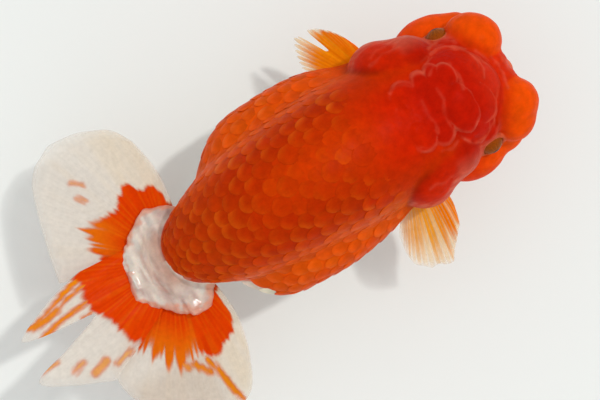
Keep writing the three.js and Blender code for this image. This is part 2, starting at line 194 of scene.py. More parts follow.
LIP_LOBES = [((57.2, 1.2, -5.6), (2.6, 3.6, 1.6)), ((56.4, 1.2, -9.4), (2.6, 3.3, 1.6))]
NOSTRIL_FLAPS = [((56.4, 3.4, 5.0), (1.6, 0.9, 1.9)), ((56.4, -0.6, 5.0), (1.6, 0.9, 1.9))]
PAD_OUTLINE = [
    (-36, 11), (-39.6, 13.3), (-45.5, 15.5), (-50.6, 12.2), (-55, 8.5), (-58.2, 5.3), (-57.9, 2),
    (-58.9, -1.7), (-60.1, -6.1), (-55, -10.4), (-50.6, -14.1), (-46.2, -17), (-41.8, -17),
    (-38.9, -12.6), (-36, -10),
]
PAD_MIDDLE = (-47, -0.7, -11.5)
PAD_THICK = 4.2  # half the pad's thickness at its middle
PAD_ROUND = 2.4  # the radius of its rim
# Raised folds on the pad, each a ramp that faces forward: x and y of its crest, half-width, rise,
# length, and how much lower it gets across its width.
PAD_SWELLS = [
    (-47.2, -13.3, 1.6, 1.05, 3.1, 0.18), (-46.9, -15.9, 0.5, 1.0, 2.7, 0.65),
    (-56.9, -0.8, 2.5, 1.1, 1.5, 0),
]
COLLAR_LOBE = ((-44.5, -0.5, -8), (7.4, 9.8, 5.3))
TAIL_ROOT_BOX = [(PAD_MIDDLE, (15, 18, 8)), COLLAR_LOBE]
TAIL_ROOT_TILT = math.radians(8)

# Thin raised folds on the head: how plain each is, and its line in x and y.
FOLDS = [
    (0.8, [(40.8, 14.9), (44.2, 15.4), (47.7, 13.5)]),
    (0.9, [(40.4, 13.1), (42.6, 13.7), (44.8, 13.3), (47.1, 11.9), (49.2, 10.1)]),
    (0.9, [(37.4, -10.1), (38.8, -12.0), (41.1, -12.8), (43.7, -11.9), (45.9, -10.0)]),
    (0.8, [(40.3, -13.7), (42.7, -14.1), (45.7, -12.9), (47.2, -11.3)]),
    (0.45, [(37.0, 8.6), (38.9, 10.0), (41.3, 9.9), (43.0, 8.5), (43.6, 5.3), (42.9, 1.4)]),
    (0.35, [(35.8, -7.3), (35.3, -4.0), (35.8, -1.3), (37.0, 1.3), (36.8, 4.7)]),
    (0.45, [(25.3, 18.2), (27.4, 18.5), (29.6, 19.4), (31.8, 19.1), (34.4, 18.9)]),
    (0.35, [(26.5, 19.9), (28.7, 20.9), (31.2, 20.6)]),
    (0.4, [(23.4, -17), (25.5, -16.6), (27.4, -17.4), (29.7, -16.9)]),
    (0.4, [(26.1, 9.2), (28.0, 10.3), (30.4, 9.9), (31.9, 8.4)]),
    (0.4, [(32.9, 10.4), (34.6, 10.8), (36.2, 9.7)]),
    (0.4, [(37.3, 12.7), (39.2, 13.1), (40.7, 11.9)]),
    (0.4, [(26.2, -6.5), (28.0, -7.8), (30.0, -7.6)]),
    (0.4, [(30.7, -9.8), (33.3, -10.8), (35.6, -9.7)]),
    (0.35, [(31.9, -5.4), (32.3, -2.5), (31.7, 0.4), (32.2, 3.8)]),
    (0.45, [(43.4, 14.0), (45.5, 14.3), (47.9, 12.9)]),
    (0.75, [(46, 12.4), (48.2, 10.8), (49.6, 8.5), (50.4, 5.9), (50.2, 3.4), (49.2, 1.2)]),
    (0.7, [(54.3, 5.4), (55.0, 2.7), (54.9, -0.0), (54.1, -3.8)]),
    (0.9, [(56.8, 4.5), (57.3, 1.9), (57.2, -1.4)]),
    (0.5, [(51.4, 8.4), (53.2, 4.8)]),
    (0.5, [(49.4, 17.6), (51.4, 18.3), (54.0, 18.4)]),
]
FOLD_RISE = 0.24
FOLD_HALF = 0.38  # half a fold's width
EYES = {"eye_left": (44.9, 14.6, EYE_Z), "eye_right": (43.8, -12.7, EYE_Z)}
EYE_RADIUS = 4.2
HEAD_MIDDLE = 1.2  # the y of the head's middle line


def sideways(x):
    """How far the body's middle line lies to the fish's left: it bends a little between tail and head."""
    return -0.4 + 1.6 * step(-45, 15, x)


def belly_sideways(x):
    """The same for the belly, which bulges out to the right behind and to the left in front."""
    return sideways(x) - 1.8 * step(-12, -30, x) + 0.65 * step(-8, 14, x)


def body_distance(shape, middle_line, points, inset):
    """About how far points lie outside one of the two long bodies."""
    x = points[:, 0]
    width, top, middle, bottom = table(shape["rows"], x).T
    y, z = points[:, 1] - middle_line(x), points[:, 2] - middle
    tall = np.where(z > 0, top - middle, middle - bottom) - inset
    share = (np.abs(y) / (width - inset)) ** SQUARENESS + (np.abs(z) / tall) ** SQUARENESS
    share = share ** (1 / SQUARENESS)
    radius = np.hypot(y, z) / np.maximum(share, 1e-6)
    end = np.zeros_like(x)
    for begins, stops in (shape["rear"], shape["front"]):
        end = np.maximum(end, (x - begins) / (stops - begins))
    return (np.hypot(share, end) - 1.0) * np.maximum(radius, 2.0)


def lobe_distance(lobe, points):
    """About how far points lie outside an ellipsoid, given by its centre and half-sizes."""
    centre, size = np.array(lobe[0], float), np.array(lobe[1], float)
    offset = (points - centre) / size
    first = np.linalg.norm(offset, axis=1)
    second = np.linalg.norm(offset / size, axis=1)
    return first * (first - 1.0) / np.maximum(second, 1e-6)


def join(first, second, soft):
    """The smaller of two distances, with the crease between them rounded."""
    share = unit(0.5 + 0.5 * (second - first) / soft)
    return second * (1 - share) + first * share - soft * share * (1 - share)


def line_distance(line, x, y):
    """How far points lie from a line of straight pieces, seen from above."""
    found = np.full(len(x), FAR_OFF)
    for (x0, y0), (x1, y1) in zip(line, line[1:]):
        dx, dy = x1 - x0, y1 - y0
        share = unit(((x - x0) * dx + (y - y0) * dy) / (dx * dx + dy * dy))
        found = np.minimum(found, np.hypot(x - x0 - share * dx, y - y0 - share * dy))
    return found


def trunk_distance(points, inset=0.0):
    """About how far points lie outside the back and the belly, both made smaller by the inset."""
    back = body_distance(BACK, sideways, points, inset)
    return join(back, body_distance(BELLY, belly_sideways, points, inset), 1.6)


def outline_distance(outline, x, y):
    """How far points lie from a closed outline seen from above, below zero within it."""
    closed = outline + outline[:1]
    within = np.zeros(len(x), bool)
    for (x0, y0), (x1, y1) in zip(closed, closed[1:]):
        if y0 != y1:
            within ^= ((y0 > y) != (y1 > y)) & (x < x0 + (x1 - x0) * (y - y0) / (y1 - y0))
    return line_distance(closed, x, y) * np.where(within, -1, 1)


def pad_rim(x, y):
    """How far outside the tail root's scalloped outline points lie, below zero within it."""
    flat = in_plane(x, y)
    scallop = 0.55 * np.abs(value_noise(flat, 2.3, 45)) + 0.2 * value_noise(flat, 1.1, 46)
    return outline_distance(PAD_OUTLINE, x, y) + 0.3 - scallop


def tail_root_distance(points):
    """The pale pad behind the body, tilted down to the rear, and its collar round the stalk."""
    x, _, z = (points - PAD_MIDDLE).T
    cos, sin = math.cos(TAIL_ROOT_TILT), math.sin(TAIL_ROOT_TILT)
    level = z * cos - x * sin
    rim = pad_rim(x * cos + z * sin + PAD_MIDDLE[0], points[:, 1])
    half = PAD_THICK - 1.2 * step(-8, 0, rim)
    for cx, cy, wide, rise, long, cant in PAD_SWELLS:
        ahead = points[:, 0] - cx
        beside = points[:, 1] - cy
        crest = rise - cant * beside
        ramp = np.where(ahead > 0, crest - rise * ahead / long, crest * np.exp(-(ahead**2)))
        half = half + np.maximum(ramp, 0) * step(wide + 0.7, wide - 0.1, np.abs(beside))
    out, above = rim + PAD_ROUND, np.abs(level) - half + PAD_ROUND
    pad = np.minimum(np.maximum(out, above), 0) + np.hypot(np.maximum(out, 0), np.maximum(above, 0))
    return join(pad - PAD_ROUND, lobe_distance(COLLAR_LOBE, points), 3.0)


def head_top(x, y):
    """The height of the bare head, seen from above: the body's back or the skull, whichever is higher."""
    width, top, middle, _ = table(BACK["rows"], x).T
    across = np.clip(np.abs(y - sideways(x)) / width, 0, 0.98)
    shut = np.sqrt(unit(1 - np.clip((x - 46) / 12.5, 0, 0.98) ** 2))
    back = middle + (top - middle) * shut * (1 - across**SQUARENESS) ** (1 / SQUARENESS)
    centre, size = DOME
    away = ((x - centre[0]) / size[0]) ** 2 + ((y - centre[1]) / size[1]) ** 2
    skull = np.where(away < 1, centre[2] + size[2] * np.sqrt(unit(1 - away)), -FAR_OFF)
    return -join(-back, -skull, 1.5)


def crown_tiles(x, y):
    """The tiles' height over the bare head, which tile gives it, and how far out on that tile points are."""
    flat = in_plane(x, y)
    x, y = x + 0.3 * value_noise(flat, 2.2, 26), y + 0.3 * value_noise(flat, 2.2, 27)
    height = np.full(len(x), -TILE_SINK)
    owner = np.full(len(x), -1)
    share = np.full(len(x), 2.0)
    for index, (cx, cy, long, wide, rise, fades) in enumerate(CROWN_TILES):
        ahead, beside = (x - cx) / long, (y - cy) / wide
        out = np.hypot(ahead, beside)
        full = rise * (1 - fades * unit(-1.6 * ahead - 0.5))
        here = (full + TILE_SINK) * np.sqrt(unit(1 - out**4)) - TILE_SINK
        here += TILE_LIP * np.exp(-(((out - 0.88) / 0.07) ** 2)) * (out < 1)
        higher = here > height
        height[higher], owner[higher], share[higher] = here[higher], index, out[higher]
    return height, owner, share


def crown_distance(points):
    """The crown as a thick sheet of tiles laid on the bare head."""
    x, y, z = points.T
    base = head_top(x, y)
    lean = np.hypot(head_top(x + 0.4, y) - base, head_top(x, y + 0.4) - base) / 0.4
    flatness = 1 / np.sqrt(1 + np.minimum(lean, 6) ** 2)
    height, owner, _ = crown_tiles(x, y)
    sheet = np.maximum(z - base - height, base - CROWN_DEPTH - z) * flatness
    sheet = np.where(owner < 0, 3.0, sheet)
    return join(lobe_distance(DOME, points), sheet, 0.5)


def lobes_distance(lobes, points, soft):
    """The same for several lobes, joined softly."""
    found = lobe_distance(lobes[0], points)
    for lobe in lobes[1:]:
        found = join(found, lobe_distance(lobe, points), soft)
    return found


# Each part of the skin: its name, its lobes, how softly they join each other, and how softly they join
# the rest at x 20 and at x 27.
PARTS = [
    ("temple", TEMPLE_LOBES, 1.0, 3.0, 3.0),
    ("gill", GILL_LOBES, 2.0, 0.8, 4.5),
    ("cheek", CHEEK_LOBES, 1.5, 1.0, 1.0),
    ("nose", NOSE_LOBES, 1.0, 1.2, 1.2),
    ("brow", BROW_LOBES, 0.5, 0.5, 0.5),
    ("snout", SNOUT_LOBES, 2.0, 1.8, 1.8),
    ("flap", NOSTRIL_FLAPS, 0.3, 0.8, 0.8),
    ("lip", LIP_LOBES, 0.3, 0.7, 0.7),
]
CROWN_BOX = [(DOME[0], (17, 17, 17))]
BEFORE_CROWN = 5  # the parts that the crown lies over


def near(points, lobes, margin):
    """Which points lie in the box round some lobes."""
    centres, sizes = np.array([centre for centre, _ in lobes]), np.array([size for _, size in lobes]) + margin
    low_corner, high_corner = (centres - sizes).min(0), (centres + sizes).max(0)
    return np.all((points > low_corner) & (points < high_corner), axis=1)


LID_TUBE = 0.5  # the thickness of the ring of skin round each eye's opening
LID_RADIUS = 3.5
LID_OUT = 2.65  # how far the ring lies from the eye's middle
LID_LIFT = math.radians(25)  # how far the opening looks up
NOSTRIL_PITS = [((57.7, 3.5, 3.4), (1.2, 0.7, 0.8)), ((57.7, -0.8, 3.4), (1.2, 0.7, 0.8))]
MOUTH_SLOT = ((58.6, 1.2, -7.5), (2.6, 2.4, 0.75))


def lid_ring(points, centre):
    """The distance to the ring of skin round an eye's opening."""
    look = np.array([0.08, math.copysign(math.cos(LID_LIFT), centre[1]), math.sin(LID_LIFT)])
    look /= lengths_of(look)
    offset = points - centre
    along = offset @ look
    across = np.linalg.norm(offset - along[:, None] * look, axis=1)
    return np.hypot(along - LID_OUT, across - LID_RADIUS) - LID_TUBE


def fold_share(points):
    """How far up on one of the head's thin folds each point is, from 0 to its plainness."""
    share = np.zeros(len(points))
    here = np.nonzero((points[:, 0] > 22) & (points[:, 2] > 1))[0]
    x, y, _ = points[here].T
    flat = points[here] * (1, 1, 0)
    wave = 0.3 * value_noise(flat, 1.5, 25)
    fading = 0.75 + 0.4 * value_noise(flat, 2.4, 28)
    for plain, line in FOLDS:
        away = (line_distance(line, x, y) + wave) / FOLD_HALF
        share[here] = np.maximum(share[here], plain * fading * np.exp(-(away**2)))
    return share * step(1, 4, points[:, 2])


def add_part(found, points, lobes, soft_inside, soft_rear, soft_front):
    """Joins one part's lobes to the distance found so far, which is changed in place."""
    here = near(points, lobes, 5)
    soft = soft_rear + (soft_front - soft_rear) * step(20, 27, points[here, 0])
    found[here] = join(found[here], lobes_distance(lobes, points[here], soft_inside), soft)


def skin_distance(points):
    """The whole skin's distance, with the sockets, the nostrils and the mouth cut in."""
    coat = COAT * step(24, 18, points[:, 0])
    found = trunk_distance(points, coat)
    here = near(points, TAIL_ROOT_BOX, 3)
    found[here] = join(found[here], tail_root_distance(points[here]), 1.0)
    for part in PARTS[:BEFORE_CROWN]:
        add_part(found, points, *part[1:])
    here = near(points, CROWN_BOX, 0)
    found[here] = join(found[here], crown_distance(points[here]), 0.7)
    for part in PARTS[BEFORE_CROWN:]:
        add_part(found, points, *part[1:])
    for centre in EYES.values():
        here = near(points, [(centre, (EYE_RADIUS,) * 3)], 4)
        away = np.linalg.norm(points[here] - centre, axis=1) - EYE_RADIUS
        lidded = join(found[here], lid_ring(points[here], centre), 0.7)
        found[here] = -join(-lidded, away + 0.12, 0.25)
    for hole in [*NOSTRIL_PITS, MOUTH_SLOT]:
        here = near(points, [hole], 3)
        found[here] = -join(-found[here], lobe_distance(hole, points[here]), 0.4)
    return found


def slope(distance, points, reach=0.05):
    """The gradient of a distance field at points."""
    sides = []
    for axis in range(3):
        shift = np.zeros(3)
        shift[axis] = reach
        sides.append((distance(points + shift) - distance(points - shift)) / (2 * reach))
    return np.stack(sides, axis=1)


def onto(distance, points, rounds=3):
    """Moves points to where the distance is nought, and gives the normals there."""
    for _ in range(rounds):
        lean = slope(distance, points)
        size = np.maximum((lean**2).sum(1), 0.05)
        move = (distance(points) / size)[:, None] * lean
        points = points - np.clip(move, -0.5, 0.5)
    lean = slope(distance, points)
    return points, lean / np.maximum(lengths_of(lean), TINY)


def contour(distance, low_corner, high_corner, pitch):
    """A mesh of quads round everything inside a distance field, by surface nets."""
    axes = [np.arange(a, b + pitch, pitch) for a, b in zip(low_corner, high_corner)]
    shape = tuple(len(a) for a in axes)
    values = np.empty(shape, np.float32)
    for i, x in enumerate(axes[0]):
        y, z = np.meshgrid(axes[1], axes[2], indexing="ij")
        slab = np.stack([np.full(y.size, x), y.ravel(), z.ravel()], axis=1)
        values[i] = distance(slab).reshape(y.shape)
    inside = values < 0
    cells = tuple(n - 1 for n in shape)
    count = np.zeros(cells, np.int8)
    for corner in range(8):
        i, j, k = corner & 1, corner >> 1 & 1, corner >> 2
        count += inside[i : i + cells[0], j : j + cells[1], k : k + cells[2]]
    mixed = (count > 0) & (count < 8)
    number = np.full(cells, -1, np.int64)
    number[mixed] = np.arange(mixed.sum())
    sums = np.zeros((mixed.sum(), 3))
    hits = np.zeros(mixed.sum())
    quads = []
    for axis in range(3):
        first = [slice(None)] * 3
        second = [slice(None)] * 3
        first[axis], second[axis] = slice(0, -1), slice(1, None)
        a, b = values[tuple(first)], values[tuple(second)]
        crossed = np.argwhere((a < 0) != (b < 0))
        other = [n for n in range(3) if n != axis]
        safe = np.all((crossed[:, other] > 0) & (crossed[:, other] < np.array(cells)[other]), axis=1)
        crossed = crossed[safe]
        va, vb = a[tuple(crossed.T)], b[tuple(crossed.T)]
        place = crossed.astype(float)
        place[:, axis] += va / (va - vb)
        ring = []
        for d0, d1 in ((0, 0), (1, 0), (1, 1), (0, 1)):
            cell = crossed.copy()
            cell[:, other[0]] -= d0
            cell[:, other[1]] -= d1
            index = number[tuple(cell.T)]
            np.add.at(sums, index, place)
            np.add.at(hits, index, 1)
            ring.append(index)
        quad = np.stack(ring, axis=1)
        flip = (va < 0) != (axis != 1)
        quad[flip] = quad[flip][:, ::-1]
        quads.append(quad)
    points = np.array(low_corner) + sums / hits[:, None] * pitch
    return points, np.concatenate(quads)


def relaxed(points, quads, share):
    """Points moved a share of the way to the mean of their neighbours."""
    total = np.zeros_like(points)
    number = np.zeros(len(points))
    for k in range(4):
        a, b = quads[:, k], quads[:, (k + 1) % 4]
        np.add.at(total, a, points[b])
        np.add.at(total, b, points[a])
        np.add.at(number, a, 1)
        np.add.at(number, b, 1)
    return points + share * (total / number[:, None] - points)


def refined(points, quads, chosen):
    """Chosen quads split in four. Their neighbours take in the new points, so no gap opens."""
    number = len(points)
    beside = np.roll(quads, -1, axis=1)
    edges = np.minimum(quads, beside) * number + np.maximum(quads, beside)
    split = np.unique(edges[chosen])
    middles = (points[split // number] + points[split % number]) / 2
    centres = points[quads[chosen]].mean(axis=1)
    middle = number + np.searchsorted(split, edges[chosen])
    centre = number + len(split) + np.arange(len(centres))
    corners = quads[chosen]
    small = [np.stack([corners[:, k], middle[:, k], centre, middle[:, k - 1]], axis=1) for k in range(4)]
    cut_edges = np.isin(edges, split)
    faces = np.concatenate([quads[~chosen & ~cut_edges.any(axis=1)], *small]).tolist()
    for face in np.nonzero(~chosen & cut_edges.any(axis=1))[0]:
        ring = []
        for corner, edge, is_cut in zip(quads[face], edges[face], cut_edges[face]):
            ring.append(int(corner))
            if is_cut:
                ring.append(int(number + np.searchsorted(split, edge)))
        faces.append(ring)
    return np.concatenate([middles, centres]), faces


# ---------- making pieces ----------
def to_row(points):
    """Millimetres in the fish's frame to metres in the row frame."""
    return (np.asarray(points, float) + (0.0, 0.0, MID_LEVEL)) * MM


def new_object(name, data):
    made = bpy.data.objects.new(name, data)
    bpy.context.scene.collection.objects.link(made)
    return made


def new_piece(name, points, faces, material, nodes, colours):
    """One mesh object that rides on the root body and stands for the nodes named. faces is a list."""
    mesh = bpy.data.meshes.new(name)
    mesh.from_pydata(to_row(points).tolist(), [], faces)
    mesh.validate(clean_customdata=False)
    mesh.polygons.foreach_set("use_smooth", [True] * len(mesh.polygons))
    layer = mesh.attributes.new("tint", "FLOAT_COLOR", "POINT")
    rgba = np.ones((len(points), 4))
    rgba[:, : colours.shape[1]] = unit(colours)
    layer.data.foreach_set("color", rgba.ravel())
    mesh.materials.append(material)
    piece = new_object(name, mesh)
    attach(piece, "root")
    if nodes:
        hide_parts(*nodes)
    return piece


class Nodes:
    """A material whose shader nodes are added and linked in short calls. An underscore stands for a space."""

    def __init__(self, name):
        self.material = bpy.data.materials.new(name)
        self.material.use_nodes = True
        self.tree = self.material.node_tree

    def fill(self, node, inputs):
        """Links, sets or assigns each of a node's inputs, whichever its value calls for."""
        for key, value in inputs.items():
            socket = node.inputs.get(key.replace("_", " "))
            if isinstance(value, bpy.types.NodeSocket):
                self.tree.links.new(value, socket)
            elif socket:
                socket.default_value = value
            else:
                setattr(node, key, value)

    def shade(self, **inputs):
        self.fill(self.tree.nodes["Principled BSDF"], inputs)

    def add(self, kind, output, **inputs):
        node = self.tree.nodes.new("ShaderNode" + kind)
        self.fill(node, inputs)
        return node.outputs[output]

    def attribute(self, name, output):
        return self.add("Attribute", output, attribute_name=name)

    def noise(self, scale, detail=3.0, roughness=0.5, place=None):
        place = place or self.add("TexCoord", "Object")
        return self.add("TexNoise", "Fac", Vector=place, Scale=scale, Detail=detail, Roughness=roughness)

    def spread(self, value, to_low, to_high, low_value=0.3, high_value=0.7):
        """A value taken from one range to another."""
        ends = dict(From_Min=low_value, From_Max=high_value, To_Min=to_low, To_Max=to_high)
        return self.add("MapRange", "Result", Value=value, **ends)

    def mottled(self, colour, noise, darkest, lightest):
        """The base colour, made darker and lighter by a noise."""
        factor = self.spread(self.noise(*noise), darkest, lightest)
        mottled = self.add("VectorMath", "Vector", operation="SCALE", Vector=colour, Scale=factor)
        self.shade(Base_Color=mottled)

    def tinted(self, noise, darkest, lightest):
        """The mesh's own colours, mottled."""
        self.mottled(self.attribute("tint", "Color"), noise, darkest, lightest)

    def bumped(self, height, strength, distance):
        self.shade(Normal=self.add("Bump", "Normal", Height=height, Strength=strength, Distance=distance))


def wet_material(name, mottle, bump, gloss, **sockets):
    """A material tinted by the mesh. Each of its three patterns is a noise and what that is spread to."""
    n = Nodes(name)
    n.tinted(*mottle)
    n.bumped(n.noise(*bump[0]), *bump[1:])
    n.shade(Roughness=n.spread(n.noise(*gloss[0]), *gloss[1:], low_value=0.35))
    n.shade(Specular_IOR_Level=0.015, **sockets)
    return n


LIT_FLESH = dict(Subsurface_Scale=0.0015, Subsurface_Radius=(1.0, 0.3, 0.1))  # light spreads most in red


def flesh_material():
    """Wet skin, with fine mottling, pores and soft light below the surface. Its coat is on the pad only."""
    mottle, pores, gloss = ((420, 4, 0.6), 0.86, 1.12), ((900, 5, 0.65), 0.25, 0.0004), ((260, 3), 0.3, 0.5)
    n = wet_material("wet_skin", mottle, pores, gloss, Subsurface_Weight=0.1, **LIT_FLESH)
    n.shade(Coat_Weight=n.spread(n.attribute("wet", "Fac"), 0, 0.9, 0, 1), Coat_Roughness=0.22)
    return n.material


def scale_material():
    """Scales: thin horn in the skin's own colours, with fine bump."""
    mottle, grain, gloss = ((500, 4, 0.6), 0.88, 1.1), ((1400, 4, 0.6), 0.2, 0.0003), ((330, 2), 0.3, 0.48)
    return wet_material("scale_horn", mottle, grain, gloss, Subsurface_Weight=0.08, **LIT_FLESH).material


def fin_material():
    """Fin membrane, whose see-through share comes from the mesh too."""
    mottle, fibre, gloss = ((700, 4, 0.6), 0.92, 1.06), ((1500, 4, 0.6), 0.25, 0.0002), ((300, 2), 0.28, 0.45)
    n = wet_material("fin_membrane", mottle, fibre, gloss)
    n.shade(Alpha=n.attribute("tint", "Alpha"))
    return n.material


def eye_material():
    n = Nodes("eye_ball")
    n.tinted((2600, 4, 0.7), 0.75, 1.25)
    n.shade(Roughness=0.15, Specular_IOR_Level=0.05)
    return n.material


def stand_material():
    n = Nodes("stand_lacquer")
    n.mottled((0.8, 0.8, 0.78), (60, 4), 0.965, 1.0)
    n.bumped(n.noise(900, 3), 0.08, 0.0002)
    n.shade(Roughness=n.spread(n.noise(150, 3), 0.32, 0.42))
    return n.material


def steel_material():
    n = Nodes("rod_steel")
    drawn = n.add("Mapping", "Vector", Vector=n.add("TexCoord", "Object"), Scale=(1, 1, 0.05))
    grain = n.noise(5000, 3, 0.6, drawn)
    n.bumped(grain, 0.1, 0.0001)
    n.shade(Roughness=n.spread(grain, 0.22, 0.4), Base_Color=(0.55, 0.56, 0.57, 1), Metallic=1.0)
    return n.material


# ---------- colours ----------
# painted highlight: the lighter red of a stripe down the back, where the sun falls on it
SUNLIT_STRIPE_RED = srgb(200, 54, 0)
DARK_RED = srgb(183, 43, 0)
NAPE_RED = srgb(196, 30, 0)
CROWN_RED = srgb(184, 22, 2)
CROWN_FRONT = srgb(196, 38, 12)
REAR_RED = srgb(186, 52, 1)
FLANK_ORANGE = srgb(220, 77, 4)
RIDGE_PINK = srgb(222, 92, 34)
SNOUT_ORANGE = srgb(228, 74, 2)
SNOUT_REAR = srgb(200, 36, 4)
CHEEK_ORANGE = srgb(230, 74, 4)
CHEEK_REAR = srgb(216, 48, 6)
GILL_RED = srgb(190, 31, 1)
GILL_OUTER = srgb(204, 44, 8)
FILM_PINK = srgb(216, 96, 70)
FILM_WIDTH = 0.6
RIM_ORANGE = srgb(216, 92, 10)
RIM_PINK = srgb(228, 106, 44)
RIM_WHITE = srgb(240, 226, 214)
BELLY_WHITE = srgb(228, 208, 192)
ROOT_WHITE = srgb(232, 220, 204)
ROOT_GREY = srgb(196, 198, 190)
ROOT_LILAC = srgb(182, 152, 142)
GILL_FILM = srgb(216, 112, 84)
ROOT_WARM_MIDDLE = srgb(186, 140, 118)
ROOT_PINK = srgb(218, 132, 98)
LIP_PINK = srgb(222, 110, 80)
EYE_RIM = srgb(200, 96, 62)
FIN_WHITE = srgb(230, 222, 210)
FIN_CREAM = srgb(231, 217, 194)
# painted shadow: the floor's shadow seen through a fin's membrane
FIN_PAINTED_SHADOW = srgb(204, 182, 158)
FIN_ORANGE = srgb(218, 62, 0)
FIN_DARK = srgb(208, 50, 0)
FIN_TAWNY = srgb(222, 112, 10)
STREAK_ORANGE = srgb(226, 130, 18)
SPOT_TAN = srgb(232, 184, 100)
FIN_PEACH = srgb(234, 170, 110)
LEFT_FRONT, LEFT_REAR = srgb(236, 108, 0), srgb(238, 134, 4)  # of the pectoral fins
LEFT_YELLOW, LEFT_TAWNY, LEFT_TIP = srgb(236, 150, 14), srgb(232, 128, 14), srgb(242, 220, 170)
RIGHT_FRONT, RIGHT_REAR = srgb(238, 126, 0), srgb(236, 190, 126)
RIGHT_AMBER, RIGHT_TIP = srgb(240, 162, 44), srgb(244, 218, 168)

PART_COLOURS = {
    "temple": srgb(172, 22, 2), "gill": GILL_RED, "brow": CROWN_RED, "cheek": CHEEK_ORANGE,
    "nose": srgb(208, 42, 6), "snout": SNOUT_ORANGE, "flap": srgb(208, 58, 26), "lip": LIP_PINK,
}


RIDGE = [(-34, 13.5), (-28, 15), (-15, 17.2), (0, 18.6), (15, 19), (24, 18.5)]


def ridge_level(x):
    """How far out, to either side, the back meets the belly's bulge."""
    return table(RIDGE, x)[..., 0]


def past_ridge(points):
    """How far out past that ridge points lie, on either side."""
    return np.abs(points[:, 1] - sideways(points[:, 0])) - ridge_level(points[:, 0])


def belly_line(points):
    """The height below which the fish is white. It climbs towards the tail, more on the fish's right."""
    x, y = points[:, 0], points[:, 1]
    climb = 9.0 * step(-8, -34, x)
    return -19.0 + climb + np.where(y < 0, 8.5 * step(-19, -27, x), 0.0)


def trunk_colour(points):
    """Reds along the back with a painted highlight stripe, orange flanks below a pink seam, a white belly
    with a ragged edge.
    """
    x, z = points[:, 0], points[:, 2]
    y = points[:, 1] - sideways(x)
    # painted highlight: a lighter red stripe down the middle of the back, where the sun falls on it
    stripe = np.exp(-(((y - 2.0) / 6.0) ** 2)) * step(-22, -6, x)
    colour = mix(DARK_RED, SUNLIT_STRIPE_RED, stripe)
    colour = mix(colour, NAPE_RED, step(8, 26, x) * step(16, 6, np.abs(y)))
    colour = mix(colour, REAR_RED, step(-16, -34, x) * 0.8)
    out = past_ridge(points)
    colour = mix(colour, FLANK_ORANGE, step(-5.0, 1.0, out) * step(26, 12, x))
    seam = np.exp(-(((out + 0.6) / 0.7) ** 2)) * (0.7 + 0.8 * value_noise(points, 1.6, 6))
    colour = mix(colour, RIDGE_PINK, 0.16 * seam * step(-34, -26, x) * step(22, 14, x) * step(2, 6, z))
    ragged = value_noise(points, 4.0, 3) * 1.2 + value_noise(points, 1.6, 4) * 0.6
    return mix(colour, BELLY_WHITE, step(0.8, -0.8, z - belly_line(points) + ragged))


def crown_colour(points):
    """Deep red, paler towards its front, with thin pink film along each tile's outer rim."""
    x, y, z = points.T
    colour = mix(NAPE_RED, CROWN_RED, step(25, 33, x))
    colour = mix(colour, CROWN_FRONT, step(44, 52, x))
    height, owner, share = crown_tiles(x, y)
    tiles = np.array(CROWN_TILES)[np.maximum(owner, 0)]
    inward = FILM_WIDTH / np.minimum(tiles[:, 2], tiles[:, 3])
    film = step(1 - 1.6 * inward, 1 - 0.7 * inward, share) * (owner >= 0)
    beside = (y - tiles[:, 1]) / tiles[:, 3] * np.sign(tiles[:, 1] - 0.8)
    ahead = (x - tiles[:, 0]) / tiles[:, 2]
    outer = np.maximum(step(0.1, 0.6, beside), step(0.1, 0.6, ahead) * step(38, 42, tiles[:, 0]))
    film *= outer * step(0.9, 0.5, np.abs(z - head_top(x, y) - height))
    ragged = 0.7 + 0.6 * value_noise(points, 2.0, 9)
    return mix(colour, FILM_PINK, 0.45 * film * ragged * step(54, 50, x))


def lobe_film(points, lobes, width):
    """1 along the rims of lobes as seen from above, and 0 inside them."""
    away = np.stack([lobe_distance(lobe, points) for lobe in lobes])
    owner = away.argmin(0)
    film = np.zeros(len(points))
    for index, (centre, size) in enumerate(lobes):
        own = owner == index
        out = np.hypot((points[own, 0] - centre[0]) / size[0], (points[own, 1] - centre[1]) / size[1])
        film[own] = step(1 - width / min(size[:2]), 1 - 0.3 * width / min(size[:2]), out)
    return film


COLOUR_BLEND = 0.3  # how far the colours of two parts run into each other


